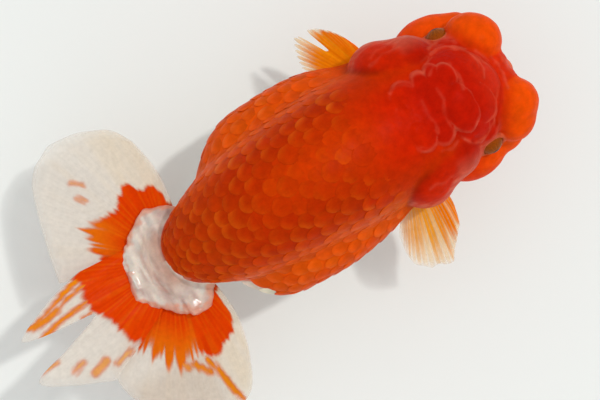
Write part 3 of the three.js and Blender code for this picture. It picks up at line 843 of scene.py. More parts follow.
def skin_colour(points):
    """The skin's tint at each point: each part's own colour, with soft joins, films, rims and painted shade
    in a crease.
    """
    x, y = points[:, 0], points[:, 1]
    out = np.abs(y - HEAD_MIDDLE)
    distance = {
        "trunk": trunk_distance(points, COAT * step(24, 18, x)),
        "root": tail_root_distance(points),
        "crown": crown_distance(points),
    }
    colour = {"trunk": trunk_colour(points), "root": root_colour(points), "crown": crown_colour(points)}
    for name, lobes, soft, *_ in PARTS:
        distance[name] = lobes_distance(lobes, points, soft)
        colour[name] = np.broadcast_to(PART_COLOURS[name], points.shape)
    colour["snout"] = mix(SNOUT_REAR, SNOUT_ORANGE, step(48.5, 55.5, x + 0.55 * (out - 8)))
    mottle = value_noise(points * (1, 1, 0.4), 2.6, 12)
    colour["cheek"] = mix(colour["cheek"], CHEEK_REAR, 0.7 * step(44, 36, x + 3 * mottle))
    colour["gill"] = mix(colour["gill"], GILL_OUTER, step(17, 22, out) * 0.5)
    streaks = 0.65 + 0.5 * value_noise(points * (0.35, 1, 1), 0.9, 13)
    streaks *= 0.75 + 0.4 * np.sin(4.2 * out + 3 * mottle)
    film = lobe_film(points, GILL_LOBES, 1.9) * step(16, 20, out)
    colour["gill"] = mix(colour["gill"], GILL_FILM, unit(0.7 * film * streaks))
    colour["temple"] = mix(GILL_RED, colour["temple"], step(30, 38, x))
    colour["temple"] = mix(colour["temple"], GILL_FILM, 0.3 * step(14, 19, out))
    film = lobe_film(points, TEMPLE_LOBES, 0.9) * step(13, 16, out)
    colour["temple"] = mix(colour["temple"], FILM_PINK, 0.45 * film)
    film = lobe_film(points, BROW_LOBES, 0.7) * step(9, 11, out)
    colour["brow"] = mix(colour["brow"], FILM_PINK, 0.36 * film)
    names = list(distance)
    distances = np.array([distance[name] for name in names])
    weights = np.exp(-(distances - distances.min(0)) / COLOUR_BLEND)
    weights /= weights.sum(0)
    tint = np.einsum("gn,gnc->nc", weights, np.array([colour[name] for name in names]))
    # painted shade: the tint is darker in the crease where the gill covers meet the trunk
    crease = step(1.8, 0.0, np.abs(distance["trunk"] - distance["gill"])) * step(14, 18, x) * step(30, 23, x)
    tint = tint * (1 - 0.3 * crease)[:, None]
    for centre in EYES.values():
        rim = np.abs(lid_ring(points, np.array(centre)))
        tint = mix(tint, EYE_RIM, 0.7 * step(0.6, 0.2, rim))
    return tint


def root_colour(points):
    """White over lilac flesh, in streaks across, and pink at its rim, most on the fish's right."""
    x, y, _ = points.T
    streak = value_noise(points * (1, 0.3, 0.3), 1.2, 41)
    white = 0.5 + 0.25 * value_noise(points * (1, 0.5, 1), 2.6, 42) + 0.35 * streak
    white += 0.45 * step(-45, -52, x) * step(-4, 3, y) - 0.35 * step(-50, -44, x) * step(9, 4, np.abs(y))
    colour = mix(ROOT_LILAC, ROOT_WHITE, unit(white))
    colour = mix(colour, ROOT_GREY, 0.5 * step(0.1, 0.7, value_noise(points * (1, 0.5, 1), 1.9, 40)))
    # the pad is warmer and darker in its middle next to the body's rear end
    colour = mix(colour, ROOT_WARM_MIDDLE, 0.8 * step(-54, -46, x) * step(11, 5, np.abs(y)))
    width = 0.9 + 1.1 * step(-2, -8, y) + 0.7 * step(11, 14, y)
    ragged = 1.1 * value_noise(points, 1.3, 43)
    return mix(colour, ROOT_PINK, 0.65 * step(-width - 0.9, -width + 0.7, pad_rim(x, y) + ragged))


# ---------- skin ----------
SKIN_PITCH = 0.62
SKIN_LOW, SKIN_HIGH = (-60, -27.5, -31), (63, 29.5, 31)  # corners of a box that holds the whole skin
FLESH_NODES = [
    "head", "trunk", "tail_stalk", "tail_root", "wen_crown", "wen_snout_left", "wen_snout_right",
    "snout_middle", "wen_cheek_left", "wen_cheek_right", "gill_cover_left", "gill_cover_right",
    "lip_upper", "lip_lower",
]


def make_skin():
    """One mesh round all the flesh, finer on the head and the pad, with small bumps and wrinkles."""
    points, quads = contour(skin_distance, SKIN_LOW, SKIN_HIGH, SKIN_PITCH)
    for _ in range(2):
        points = relaxed(points, quads, 0.5)
        points, normals = onto(skin_distance, points, 2)
    middle = points[quads].mean(axis=1)
    on_head = (middle[:, 0] > 26) & (middle[:, 2] > 5)
    on_root = (middle[:, 0] < -42) & (middle[:, 2] > -12)
    extra, faces = refined(points, quads, on_head | on_root)
    extra, extra_normals = onto(skin_distance, extra, 2)
    points, normals = np.concatenate([points, extra]), np.concatenate([normals, extra_normals])
    fold = fold_share(points)
    colours = mix(skin_colour(points), FILM_PINK, 0.5 * fold)
    head = step(22, 28, points[:, 0])
    rough = value_noise(points, 1.5, 21) * 0.05 + value_noise(points, 3.2, 22) * 0.08
    root = step(-44, -48, points[:, 0])
    wrinkle = 0.12 - 0.24 * np.abs(value_noise(points * (1, 0.25, 0.4), 1.5, 23))
    wrinkle += 0.06 * value_noise(points * (1, 0.4, 1), 0.8, 24)
    for cx, cy, wide, _, long, _ in PAD_SWELLS:
        away = ((points[:, 0] - cx - long / 2) / long) ** 2 + ((points[:, 1] - cy) / (wide + 0.6)) ** 2
        wrinkle = wrinkle * (1 - np.exp(-(away**2)))
    points = points + normals * (rough * head + wrinkle * root + FOLD_RISE * fold)[:, None]
    wet = step(-40, -43, points[:, 0])
    skin = new_piece("skin", points, faces, flesh_material(), FLESH_NODES, colours)
    skin.data.attributes.new("wet", "FLOAT", "POINT").data.foreach_set("value", wet)


# ---------- scales ----------
SCALE_LENGTH = 7.2
SCALE_WIDTH = 6.6
SCALE_THICK = 0.16
BAKE_PATCH = 0.003  # the width of a scale's patch on the bake map
SCALE_TURN = 0.15  # how far scales turn from the body's line, in radians, as a standard deviation
SCALE_VARIES = 0.07  # and how much their sizes vary, as a share
LIFT_VARIES = 0.03  # and their lift
ROOT_VARIES = 0.33  # and the places of their roots
SHADE_VARIES = 0.04  # how much scales vary in brightness, as a share
GREEN_VARIES = 0.06  # and in the green part of their colour, from red to orange
BELLY_TOP = -6.0  # the level under which scales are in the belly's piece
ROUND_FROM = 0.42  # the share of its length where a scale's rounded rear end starts
FIRST_RING_X = 24.0
LAST_RING_X = -36.0
TURN_CENTRE = (-36.0, -4.5)  # x and z of the middle of the rounded rear end
TURN_LEANS = (11, 24, 38.5, 55, 74)  # in degrees
RING_STEP = 4.1
SIDE_STEP = 5.2
TURN_STEP = 4.1
SCALE_ROWS = np.array([0.0, 0.22, 0.4, 0.54, 0.66, 0.76, 0.84, 0.9, 0.95, 0.985, 1.0])
SCALE_COLUMNS = np.array([-1.0, -0.85, -0.5, 0.0, 0.5, 0.85, 1.0])


def scale_size(points):
    """Scales are smaller towards the tail and on the belly's bulge."""
    small = np.maximum(step(-18, -42, points[:, 0]), step(16, 20, np.abs(points[:, 1])))
    return 1.0 - 0.22 * small


def coat_distance(points):
    return trunk_distance(points, COAT)


CAST_REACH = 45.0
CAST_HALVINGS = 18


def cast(origins, directions):
    """Where rays from inside the trunk reach its surface."""
    near_end, far_end = np.zeros(len(origins)), np.full(len(origins), CAST_REACH)
    for _ in range(CAST_HALVINGS):
        middle = (near_end + far_end) / 2
        within = coat_distance(origins + directions * middle[:, None]) < 0
        near_end, far_end = np.where(within, middle, near_end), np.where(within, far_end, middle)
    return origins + directions * near_end[:, None]


def rings():
    """Each ring's x and z on the body's axis, its lean to the rear and the step between its scales."""
    places = [FIRST_RING_X]
    while places[-1] > LAST_RING_X:
        x = places[-1]
        front, rear = table(BACK["rows"], np.array([x + 1.0, x - 1.0]))[:, 0]
        ring_step = RING_STEP - 0.7 * float(step(-14, -36, x))
        places.append(x - ring_step / math.hypot(1.0, 0.3 * (front - rear)))
    stretch = (LAST_RING_X - FIRST_RING_X) / (places[-1] - FIRST_RING_X)
    found = []
    for place in places:
        x = FIRST_RING_X + (place - FIRST_RING_X) * stretch
        side_step = SIDE_STEP - 0.9 * float(step(-14, -40, x))
        found.append((x, -3.0 - 1.5 * float(step(-10, -34, x)), 0.0, side_step))
    for lean in TURN_LEANS:
        found.append((*TURN_CENTRE, math.radians(lean), TURN_STEP))
    return found


def scale_roots():
    """Every scale's place on the skin, ring by ring, each ring staggered by half a step."""
    angles = np.radians(np.arange(-180, 181, 2.0))
    places = []
    for number, (x, z, lean, side_step) in enumerate(rings()):
        origin = np.array([x, float(sideways(np.array(x))), z])
        outward = np.stack([np.zeros_like(angles), np.sin(angles), np.cos(angles)], axis=1) * math.cos(lean)
        outward[:, 0] -= math.sin(lean)
        line = cast(np.broadcast_to(origin, outward.shape), outward)
        lengths = np.concatenate([[0], np.cumsum(np.linalg.norm(np.diff(line, axis=0), axis=1))])
        lengths -= lengths[len(angles) // 2]
        most = int(lengths[-1] / side_step)
        stagger = 0.5 * (number % 2)
        wanted = (np.arange(-most, most + 1) + stagger) * side_step
        wanted = wanted[(wanted > lengths[0] + 1) & (wanted < lengths[-1] - 1)]
        places.append(np.stack([np.interp(wanted, lengths, line[:, k]) for k in range(3)], axis=1))
    places = np.concatenate(places)
    return places + RANDOM.normal(0, ROOT_VARIES, places.shape)


def scale_prominence(points):
    """How far the scales' edges stand out: least on the middle of the back near the head."""
    x = points[:, 0]
    side = np.abs(points[:, 1] - sideways(x))
    middle = step(15, 6, side) * step(0, 6, points[:, 2])
    hushed = middle * (0.55 * step(-38, -18, x) + 0.25 * step(-16, 2, x))
    return (1.0 - hushed) * (1.0 - 0.75 * step(12, 22, x))


def scale_places():
    """The roots of the scales that no lobe hides, and the directions along and across each scale."""
    roots, normals = onto(coat_distance, scale_roots())
    hidden = (tail_root_distance(roots) < -0.3) | (crown_distance(roots) < 0.0)
    for _, lobes, *_ in PARTS:
        for lobe in lobes:
            hidden |= lobe_distance(lobe, roots) < -0.6
    roots, normals = roots[~hidden], normals[~hidden]
    rearward = np.array([-1.0, 0, 0]) - normals * (-normals[:, :1])
    rearward /= lengths_of(rearward)
    across = np.cross(normals, rearward)
    turn = RANDOM.normal(0, SCALE_TURN, len(roots))[:, None]
    cos, sin = np.cos(turn), np.sin(turn)
    return roots, rearward * cos + across * sin, across * cos - rearward * sin


def make_scales():
    """Each scale is a thin closed plate that follows the trunk and stands up towards its rounded rear."""
    roots, rearward, across = scale_places()
    count = len(roots)
    p, q = (grid.ravel() for grid in np.meshgrid(SCALE_ROWS, SCALE_COLUMNS, indexing="ij"))
    round_part = unit((p - ROUND_FROM) / (1 - ROUND_FROM))
    half = SCALE_WIDTH / 2 * np.sqrt(np.clip(1 - round_part**2, 0.0004, 1))
    along, side = (p - 0.5) * SCALE_LENGTH, q * half
    size = (RANDOM.normal(1, SCALE_VARIES, count) * scale_size(roots))[:, None]
    flat = roots[:, None] + rearward[:, None] * (along * size)[..., None]
    flat = (flat + across[:, None] * (side * size)[..., None]).reshape(-1, 3)
    placed, lean = onto(coat_distance, flat)
    placed, lean = placed.reshape(count, -1, 3), lean.reshape(count, -1, 3)
    stand_out = scale_prominence(roots)[:, None]
    edge = np.maximum(np.hypot(round_part, side / (SCALE_WIDTH / 2)), np.where(p < ROUND_FROM, np.abs(q), 0))
    sink = 0.06 + 0.3 * step(12, 24, roots[:, :1])
    flank = step(-2, 2, past_ridge(roots))[:, None]
    lift = (0.17 + 0.2 * stand_out + 0.03 * flank) * p - sink - 0.14 * step(0.6, 1.05, edge)
    lift = lift + RANDOM.normal(0, LIFT_VARIES, (count, 1))
    thick = SCALE_THICK * (1 - 0.5 * step(0.7, 1.0, edge))
    top = placed + lean * lift[..., None]
    bottom = placed + lean * (lift - thick)[..., None]
    outward = np.sign(across[:, 1] * (roots[:, 1] - sideways(roots[:, 0])))[:, None]
    outer = np.where(np.abs(roots[:, 1:2]) < 3, 0.3, q * outward)
    colour = scale_colours(roots, p, edge, outer, stand_out, flank)
    faces = plate_faces(len(SCALE_ROWS), len(SCALE_COLUMNS))
    low_down = roots[:, 2] <= BELLY_TOP
    groups = {
        "scales_left": (roots[:, 1] >= 0) & ~low_down,
        "scales_right": (roots[:, 1] < 0) & ~low_down,
        "scales_belly": low_down,
    }
    material = scale_material()
    for name, chosen in groups.items():
        points = np.concatenate([top[chosen], bottom[chosen]], axis=1)
        tints = np.concatenate([colour[chosen], colour[chosen]], axis=1)
        firsts = np.arange(len(points)) * points.shape[1]
        every = (faces + firsts[:, None, None]).reshape(-1, 4).tolist()
        piece = new_piece(name, points.reshape(-1, 3), every, material, (), tints.reshape(-1, 3))
        add_bake_map(piece, roots[chosen], np.tile(np.stack([p, q], axis=1), (2, 1)))


def plate_faces(rows, columns):
    """The quads of a closed plate whose top sheet comes first and whose bottom sheet follows."""
    sheet = rows * columns
    faces = []
    for i in range(rows - 1):
        for j in range(columns - 1):
            a = i * columns + j
            b, c, d = a + 1, a + columns + 1, a + columns
            faces.append((a, d, c, b))
            faces.append((sheet + a, sheet + b, sheet + c, sheet + d))
    for j in range(columns - 1):
        front, rear = j, (rows - 1) * columns + j
        faces.append((front, front + 1, sheet + front + 1, sheet + front))
        faces.append((rear + 1, rear, sheet + rear, sheet + rear + 1))
    for i in range(rows - 1):
        left, right = i * columns, i * columns + columns - 1
        faces.append((left + columns, left, sheet + left, sheet + left + columns))
        faces.append((right, right + columns, sheet + right + columns, sheet + right))
    return np.array(faces)


def scale_colours(roots, p, edge, outer, stand_out, flank):
    """Each root's skin colour, with painted shade in front under its neighbour and a paler crescent at its
    rear and outer side.
    """
    count = len(roots)
    base = trunk_colour(roots) * RANDOM.normal(1, SHADE_VARIES, count)[:, None]
    base[:, 1] *= RANDOM.normal(1, GREEN_VARIES, count)
    # painted shade and light: each scale is darker at its front, where its neighbour overlaps it, and lighter
    # towards its rear
    depth = (0.1 * stand_out + 0.03 * flank + 0.02)[..., None]
    shade = 1.0 + depth * (1.3 * step(0.4, 0.9, p)[None, :, None] - 0.7)
    colour = base[:, None] * shade
    # the crescent is partly the scale's own pale rim and partly a painted highlight where the rim catches the
    # light
    pale_rim_and_highlight = mix(RIM_ORANGE, RIM_PINK, step(-4, 1, past_ridge(roots)))
    pale_rim_and_highlight[base.min(1) > 0.2] = RIM_WHITE
    crescent = step(0.3, 0.9, edge) * step(0.35, 0.7, p)
    patchy = 0.8 + 0.6 * value_noise(roots, 6.0, 21)[:, None]
    strength = (0.08 + 0.46 * stand_out) * RANDOM.uniform(0.25, 1.4, (count, 1)) * patchy * (1 - 0.35 * flank)
    strength = strength * (0.35 + 0.85 * step(-0.5, 0.6, outer))
    return mix(colour, pale_rim_and_highlight[:, None], unit(crescent[None] * strength))


def unwrap(points):
    """The trunk's skin laid flat: along its length, and round it from the keel's left to its right."""
    x = points[:, 0]
    round_it = np.arctan2(points[:, 1] - sideways(x), points[:, 2] + 4.0) / (2 * math.pi) + 0.5
    return np.stack([(x + 50) / 80, round_it], axis=1) * 0.96 + 0.02


def add_bake_map(piece, roots, local):
    """A UV map where each scale is a small patch at its root's place on the unwrapped skin."""
    centre = unwrap(roots)
    patch = (local - (0.5, 0.0)) * (BAKE_PATCH, BAKE_PATCH / 2)
    uv = (centre[:, None] + patch[None]).reshape(-1, 2)
    mesh = piece.data
    corners = np.empty(len(mesh.loops), np.int64)
    mesh.loops.foreach_get("vertex_index", corners)
    layer = mesh.uv_layers.new(name="OFBake", do_init=False)
    layer.uv.foreach_set("vector", uv[corners].astype(np.float32).ravel())


# ---------- fins ----------
FIN_EDGE = 0.3  # how thick every fin is at its edge
RAY_WIDTH = 0.13  # half a ray's width as a share of the step between rays


def ray_ridge(u, v, rays, fork):
    """1 on a fin ray and 0 on the membrane. Each ray forks in two towards the edge."""
    phase = u * rays
    local = np.abs(phase - np.round(phase))
    gap = np.abs(local - fork * step(0.35, 0.8, v))
    return np.exp(-((gap / RAY_WIDTH) ** 2))


def make_fin(
    name, root, tip, bend, paint, rays, thick, nodes, slot, fine=(10, 60), notch=None, ragged=0.012, fork=0.25
):
    """A closed, thin, rayed fin from its root curve to its tip curve.

    bend gives how far points move forward and up, paint their colour and alpha, and notch how much
    shorter the fin is there. fine is the number of columns to a ray and of rows.
    """
    columns, rows = rays * fine[0] + 1, fine[1]
    u, v = np.meshgrid(np.linspace(0, 1, columns), np.linspace(0, 1, rows), indexing="ij")
    base, far = curve(root, u), curve(tip, u)
    ray_line = in_plane(u * rays * 2, u * 0).reshape(-1, 3)
    reach = 1 - ragged + ragged * value_noise(ray_line, 2.6, 51).reshape(u.shape)
    if notch:
        reach += notch(u)
    share = v * np.minimum(reach, 1.0)
    middle = base + (far - base) * share[..., None]
    forward, up = bend(u, v)
    middle[..., 0] += forward
    middle[..., 2] += up
    across, along = np.gradient(middle, axis=0), np.gradient(middle, axis=1)
    normal = np.cross(across, along)
    normal /= np.maximum(lengths_of(normal), TINY)
    ridge = ray_ridge(u, v, rays, fork)
    half = (thick + (FIN_EDGE - thick) * v) / 2 * (0.92 + 0.08 * ridge)
    top, bottom = middle + normal * half[..., None], middle - normal * half[..., None]
    points = np.concatenate([top.reshape(-1, 3), bottom.reshape(-1, 3)])
    colour = paint(middle.reshape(-1, 3), u.ravel(), share.ravel(), ridge.ravel())
    faces = plate_faces(columns, rows).tolist()
    new_piece(name, points, faces, FIN_SKIN, nodes, np.concatenate([colour, colour]))


def outer_bend(front, v):
    return 1.6 * (1 - front) ** 4 * np.sin(math.pi * v), 1.5 * v * np.sin(7 * front + 1)


def inner_bend(u, v):
    return 0.0 * u, v * (1 - v) * (1.2 * np.sin(9 * u) - 2)


def paired_bend(front, v):
    return 0.9 * (1 - front) ** 3 * np.sin(math.pi * v), 0.7 * v * np.sin(7 * front)


def no_bend(u, v):
    return 0 * u, 0 * v


def reversed_bend(bend):
    """The same bend for a fin whose curves run from its rear to its front."""
    return lambda u, v: bend(1 - u, v)


FAN_CENTRE = (-45.0, -0.5)
# How far the orange patch reaches from the fan's centre over each lobe, by the angle from the fish's left
# round the rear to its right: angle in degrees, radius, and how far it frays into rays there.
LEFT_PATCH = [
    (-40, 14, 0), (-26.4, 15.1, 0.3), (-16, 19.6, 0.5), (-8.4, 20.5, 0.5), (-2.8, 20.9, 0.4), (1, 23, 0.4),
    (6.1, 23.7, 0.4), (9, 22.8, 0.5), (14.7, 21.6, 0.6), (19, 20.2, 1), (29, 20.9, 2), (34, 23, 3),
    (40, 24.8, 4), (48, 23.8, 4), (55, 21.4, 3), (62, 19, 1),
]
INNER_PATCH = [
    (50, 21, 0.3), (60, 23.5, 0.6), (67.6, 25.2, 1.2), (72.3, 26.3, 1.6), (77.3, 25.4, 1.4), (88, 25.2, 1.2),
    (95.8, 24.6, 0.8), (100.6, 24.2, 0.6), (105.8, 23.7, 0.6), (109.2, 22.9, 0.6), (114.4, 24.2, 0.8),
    (121, 23.8, 0.8), (127, 24, 1.2), (136, 24.5, 1.5),
]
RIGHT_PATCH = [
    (118, 24.5, 1.5), (128, 26, 2), (134, 26.4, 3), (142, 26.6, 3.5), (148, 27.4, 4), (152.4, 28.4, 4.5),
    (159.4, 29.8, 4.5), (163, 28, 4), (168, 26.6, 2), (171.7, 28, 1), (178, 28.5, 0.6), (181.1, 26.6, 0.6),
    (186.6, 26.2, 0.6), (191.5, 25, 0.5), (196.8, 22.5, 0.4), (200.6, 17.6, 0.3), (204, 14.6, 0),
]
# Streaks and spots beyond the patch: half-width, strength, and their line in x and y.
INNER_STREAKS = [
    (0.7, 1.0, [(-67, 7.8), (-72, 6.4), (-77, 4.5), (-81, 2.9), (-86.5, 1.6)]),
    (0.6, 0.97, [(-67, 5.2), (-74, 3.9), (-79, 2), (-85, 0.9)]),
    (1.1, 0.93, [(-78, 2.6), (-82, 1.6), (-85.5, 1.2)]),
    (0.7, 0.97, [(-67, 1), (-74, 0.2), (-79, -0.6), (-85.5, -2.4)]),
    (0.5, 0.97, [(-67, -2.1), (-73.5, -2.7)]),
    (0.8, 0.82, [(-79, -12.9), (-82, -14)]), (0.9, 0.84, [(-73.6, -15.9), (-77.7, -17.1)]),
    (0.8, 0.8, [(-67, -16.6), (-71.4, -17.8)]), (0.45, 0.82, [(-84.5, -9.8), (-89.5, -10.2)]),
]
LEFT_STREAKS = [
    (0.45, 0.75, [(-59.6, 31), (-57, 28.9)]), (0.5, 0.75, [(-60, 26.6), (-58.3, 24.8)]),
]
RIGHT_STREAKS = [
    (0.8, 0.93, [(-53.8, -28.6), (-51, -32.4)]), (0.6, 0.88, [(-57, -25.5), (-56, -28.5)]),
    (0.8, 0.97, [(-49.9, -29), (-49.4, -31.5), (-48.4, -36.5), (-46.7, -43)]),
]


def with_alpha(colour, alpha, least):
    """A colour and its opacity, which is kept between the least and 1."""
    return np.concatenate([colour, np.clip(alpha, least, 1)[:, None]], axis=1)


def fan_place(points):
    """Each point's distance from the fan's centre, and its angle there from the left round the rear."""
    x, y = (points[:, :2] - FAN_CENTRE).T
    angle = np.degrees(np.arctan2(-x, y))
    return np.hypot(x, y), np.where(angle < -60, angle + 360, angle)


def tail_paint(patch_rows, streaks):
    """A painter: white membrane, clearer towards the edge, with an orange patch that frays along the rays."""

    def paint(points, u, v, ridge):
        x, y = points[:, 0], points[:, 1]
        radius, angle = fan_place(points)
        edge, fray = table(patch_rows, angle).T
        broad = value_noise(in_plane(angle / 3.3, radius / 18), 1.0, 31)
        narrow = value_noise(in_plane(angle / 1.5, radius / 14), 1.0, 33)
        fine = value_noise(points, 0.9, 32)
        depth = edge - radius
        inside = depth + (0.55 + 0.3 * fray) * broad + (0.3 + 0.4 * fray) * narrow + 0.25 * fine
        soft = 0.68 + 0.26 * fray
        patch = step(-soft, soft, inside)
        frayed = step(1.2, 4.0, fray) * step(13.0, 1.0, depth)
        parted = frayed * step(6.0, 1.0, depth)
        patch = patch * (1 - 0.6 * parted * step(-0.15, -0.6, narrow + 0.6 * broad))
        orange = mix(FIN_ORANGE, FIN_DARK, 0.5 * step(0.0, 0.6, narrow))
        orange = mix(orange, FIN_TAWNY, unit(0.8 * frayed + 0.2 * step(0.0, -0.6, narrow)))
        for half, strength, line in streaks:
            away = line_distance(line, x, y) + 0.25 * fine
            band = strength * step(half + 0.9, half - 0.7, away + 0.45 * narrow)
            spot = mix(STREAK_ORANGE, SPOT_TAN, step(0.92, 0.78, strength))
            orange = mix(orange, spot, band * (band > patch))
            patch = np.maximum(patch, band)
        cream = step(-54, -42, x) + 0.35 * broad + 0.04 * ridge
        white = mix(FIN_WHITE, FIN_CREAM, unit(cream))
        # painted shadow: the right lobe's rear is darker, as the shadow under it shows through the membrane
        white = mix(white, FIN_PAINTED_SHADOW, 0.55 * step(-22, -30, y) * step(-46, -53, x))
        orange = mix(FIN_TAWNY, orange, step(0.3, 0.9, patch))
        colour = mix(white, orange, 1 - (1 - unit(patch)) ** 1.7)
        margin = np.minimum(np.minimum(u, 1 - u) * 14, (1 - v) * 7)
        clear = (0.63 + 0.02 * ridge + 0.06 * broad) * (0.35 + 0.65 * unit(margin))
        alpha = np.maximum(clear, np.maximum(patch * 1.02, step(0.2, 0.05, v)))
        return with_alpha(colour, alpha, 0)

    return paint


PECTORAL_RAYS = 20
PARTING = 0.55  # where the left fin is split in two


def between_rays(u):
    """0 on the pectoral fins' rays and 1 halfway between two of them."""
    return 1 - np.abs(np.cos(math.pi * PECTORAL_RAYS * u))


def left_tips(u):
    """How much shorter the left fin is, as a share of its rays: at its parting, and between its rear rays."""
    parting = np.exp(-(((u - PARTING) / 0.05) ** 4))
    return -0.46 * parting - 0.11 * step(PARTING, 0.65, u) * between_rays(u)


def left_paint(points, u, v, ridge):
    """The left fin: bright orange in front of the parting, and loose rays behind it that pale to cream."""
    stripe = value_noise(in_plane(u * 30, v * 1.5), 1.0, 61)
    rear = step(0.5, 0.6, u)
    base = mix(LEFT_FRONT, LEFT_REAR, step(0.1, 0.5, u))
    base = mix(base, LEFT_YELLOW, 0.6 * step(0.1, 0.6, stripe))
    base = mix(base, LEFT_TAWNY, 0.5 * rear * step(-0.1, -0.6, stripe))
    start = 0.92 - 0.34 * step(0.32, 0.62, u)
    fade = step(0, 1, (v + 0.08 * stripe - start) / (1 - start))
    gap = step(0.45, 0.85, between_rays(u)) * step(0.45, 0.9, v)
    colour = mix(base, LEFT_TIP, unit(fade + (0.1 + 0.3 * rear) * gap))
    alpha = 1.0 - 0.5 * fade - 0.55 * rear * gap - 0.25 * step(0.88, 1.0, v)
    return with_alpha(colour, alpha, 0.1)


def right_paint(points, u, v, ridge):
    """The right fin: orange bands along its front rays, tan behind them, clearing to its rear and tips."""
    front = 1 - u
    stripe = value_noise(in_plane(u * 26, v * 1.2), 1.0, 62)
    base = mix(RIGHT_FRONT, RIGHT_AMBER, step(0.2, 0.5, front + 0.06 * stripe))
    base = mix(base, RIGHT_REAR, step(0.6, 0.95, front))
    start = 0.86 - 0.36 * step(0.05, 0.4, front)
    fade = step(0, 1, (v + 0.1 * stripe - start) / (1.05 - start))
    gap = step(0.35, 0.85, between_rays(u)) * step(0.1, 0.4, v)
    pale_band = step(0.25, 0.55, stripe) * step(0.1, 0.5, v) * step(0.06, 0.12, front)
    colour = mix(base, RIGHT_TIP, unit(fade + 0.35 * gap + 0.5 * pale_band))
    alpha = 1.0 - 0.35 * step(0.55, 0.95, front) - 0.6 * fade - 0.25 * gap - 0.25 * step(0.88, 1.0, v)
    return with_alpha(colour, alpha, 0.1)


def pale_paint(points, u, v, ridge):
    colour = mix(FIN_WHITE, FIN_PEACH, 0.5 * step(0.5, 0.1, v))
    alpha = 0.85 - 0.25 * step(0.5, 1.0, v) + 0.1 * ridge
    return with_alpha(colour, alpha, 0)


def make_pair(name, bend, root, tip, middle, **fin):
    """A left fin and its mirror image in the plane y = middle, whose curves run the other way."""
    make_fin(name + "_left_fin", root, tip, bend, nodes=[name + "_left"], **fin)
    root, tip = ([(x, 2 * middle - y, z) for x, y, z in reversed(line)] for line in (root, tip))
    make_fin(name + "_right_fin", root, tip, reversed_bend(bend), nodes=[name + "_right"], **fin)


def make_fins():
    tail = dict(slot="pale_fin", thick=1.0)
    make_fin(
        "tail_left", bend=outer_bend, rays=20, nodes=["tail_left_outer"],
        paint=tail_paint(LEFT_PATCH, LEFT_STREAKS), **tail,
        root=[(-38.3, 11, -11.5), (-46, 12, -12.2), (-51, 8.4, -13), (-53, 3.5, -13.2)],
        tip=[
            (-39.4, 33.2, -14.5), (-43.4, 39, -16), (-51, 42.3, -17), (-59.5, 43.2, -17), (-66, 40.4, -16),
            (-70.1, 34.6, -15), (-71.9, 27.5, -14), (-73.6, 18.5, -13.5), (-75.3, 8.5, -13.5),
        ],
    )
    make_fin(
        "tail_middle", bend=lambda u, v: inner_bend(2 * u, v), rays=22,
        nodes=["tail_left_inner", "tail_right_inner"], paint=tail_paint(INNER_PATCH, INNER_STREAKS), **tail,
        root=[
            (-49.5, 7.5, -12.2), (-52.5, 4.2, -12.6), (-53.6, -0.8, -12.8), (-52.5, -5.4, -12.6),
            (-49.5, -9, -12.2),
        ],
        tip=[
            (-69, 8.6, -8.5), (-80, 5.4, -3.5), (-90, -0.4, 1), (-80.5, -2.5, -3), (-70.5, -3.5, -7),
            (-81, -8, -3), (-91.5, -12, 0.5), (-85, -17, -3), (-74.5, -22, -9),
        ],
    )
    make_fin(
        "tail_right", bend=reversed_bend(outer_bend), rays=20, nodes=["tail_right_outer"],
        paint=tail_paint(RIGHT_PATCH, RIGHT_STREAKS), **tail,
        root=[(-53, -5, -13.2), (-51, -9.6, -13), (-46, -13, -12.2), (-38.2, -12, -11.5)],
        tip=[
            (-74.5, -17.5, -14), (-74, -26, -14), (-70.5, -35, -15), (-64, -41.6, -16.5),
            (-56.5, -45, -17.5), (-49, -45, -17), (-43.2, -41.6, -16), (-39.2, -33, -14.5),
        ],
    )
    pectoral = dict(slot="orange_fin", thick=1.0, fine=(8, 40), rays=PECTORAL_RAYS, fork=0)
    make_fin(
        "pectoral_left_fin", bend=paired_bend, paint=left_paint, nodes=["pectoral_left"],
        notch=left_tips, **pectoral,
        root=[(26.1, 19.6, -11), (24.2, 18.5, -12), (19.5, 18.5, -13)],
        tip=[
            (25.4, 27.4, -12), (24.2, 30, -12.5), (22.9, 31.9, -13), (21, 33.8, -13.5), (18.6, 35.6, -14.5),
            (16, 36.8, -15), (13.3, 37.6, -15.5), (11.7, 34.9, -16), (10.8, 31.6, -16.5), (10.6, 28, -16.5),
            (11.4, 25.4, -16.5),
        ],
    )
    make_fin(
        "pectoral_right_fin", bend=reversed_bend(paired_bend), paint=right_paint, nodes=["pectoral_right"],
        root=[(17.4, -16, -13), (22, -16, -12), (27, -16.8, -11)],
        tip=[
            (11.3, -25.4, -16.5), (10.8, -29.2, -16.5), (10.8, -32.6, -16), (12.4, -35.2, -16),
            (15.5, -37.2, -15.5), (18.6, -38.4, -15), (21.2, -38.8, -14.5), (23.3, -36, -14),
            (25.4, -33, -13), (27.4, -30, -12.5), (28.2, -26.4, -12),
        ],
        ragged=0.035, **pectoral,
    )
    pelvic = dict(
        paint=pale_paint, slot="orange_fin", thick=0.9, rays=8, fine=(8, 30), middle=0.5,
        root=[(11, 9.5, -25), (8, 8, -26), (5, 7, -26.5)],
        tip=[(4.5, 20, -29), (-2, 19.5, -33), (-8.5, 15.5, -35), (-11.5, 10.5, -34)],
    )
    anal = dict(
        paint=pale_paint, slot="pale_fin", thick=0.8, rays=6, fine=(8, 24), middle=0,
        root=[(-27, 3.4, -20), (-29.5, 3.2, -18.5), (-32, 3, -16.5)],
        tip=[(-34.5, 6.4, -29), (-38, 6.8, -28.5), (-42, 6.4, -24.5), (-42.5, 5.6, -20.5)],
    )
    make_pair("pelvic", paired_bend, **pelvic)
    make_pair("anal", no_bend, **anal)


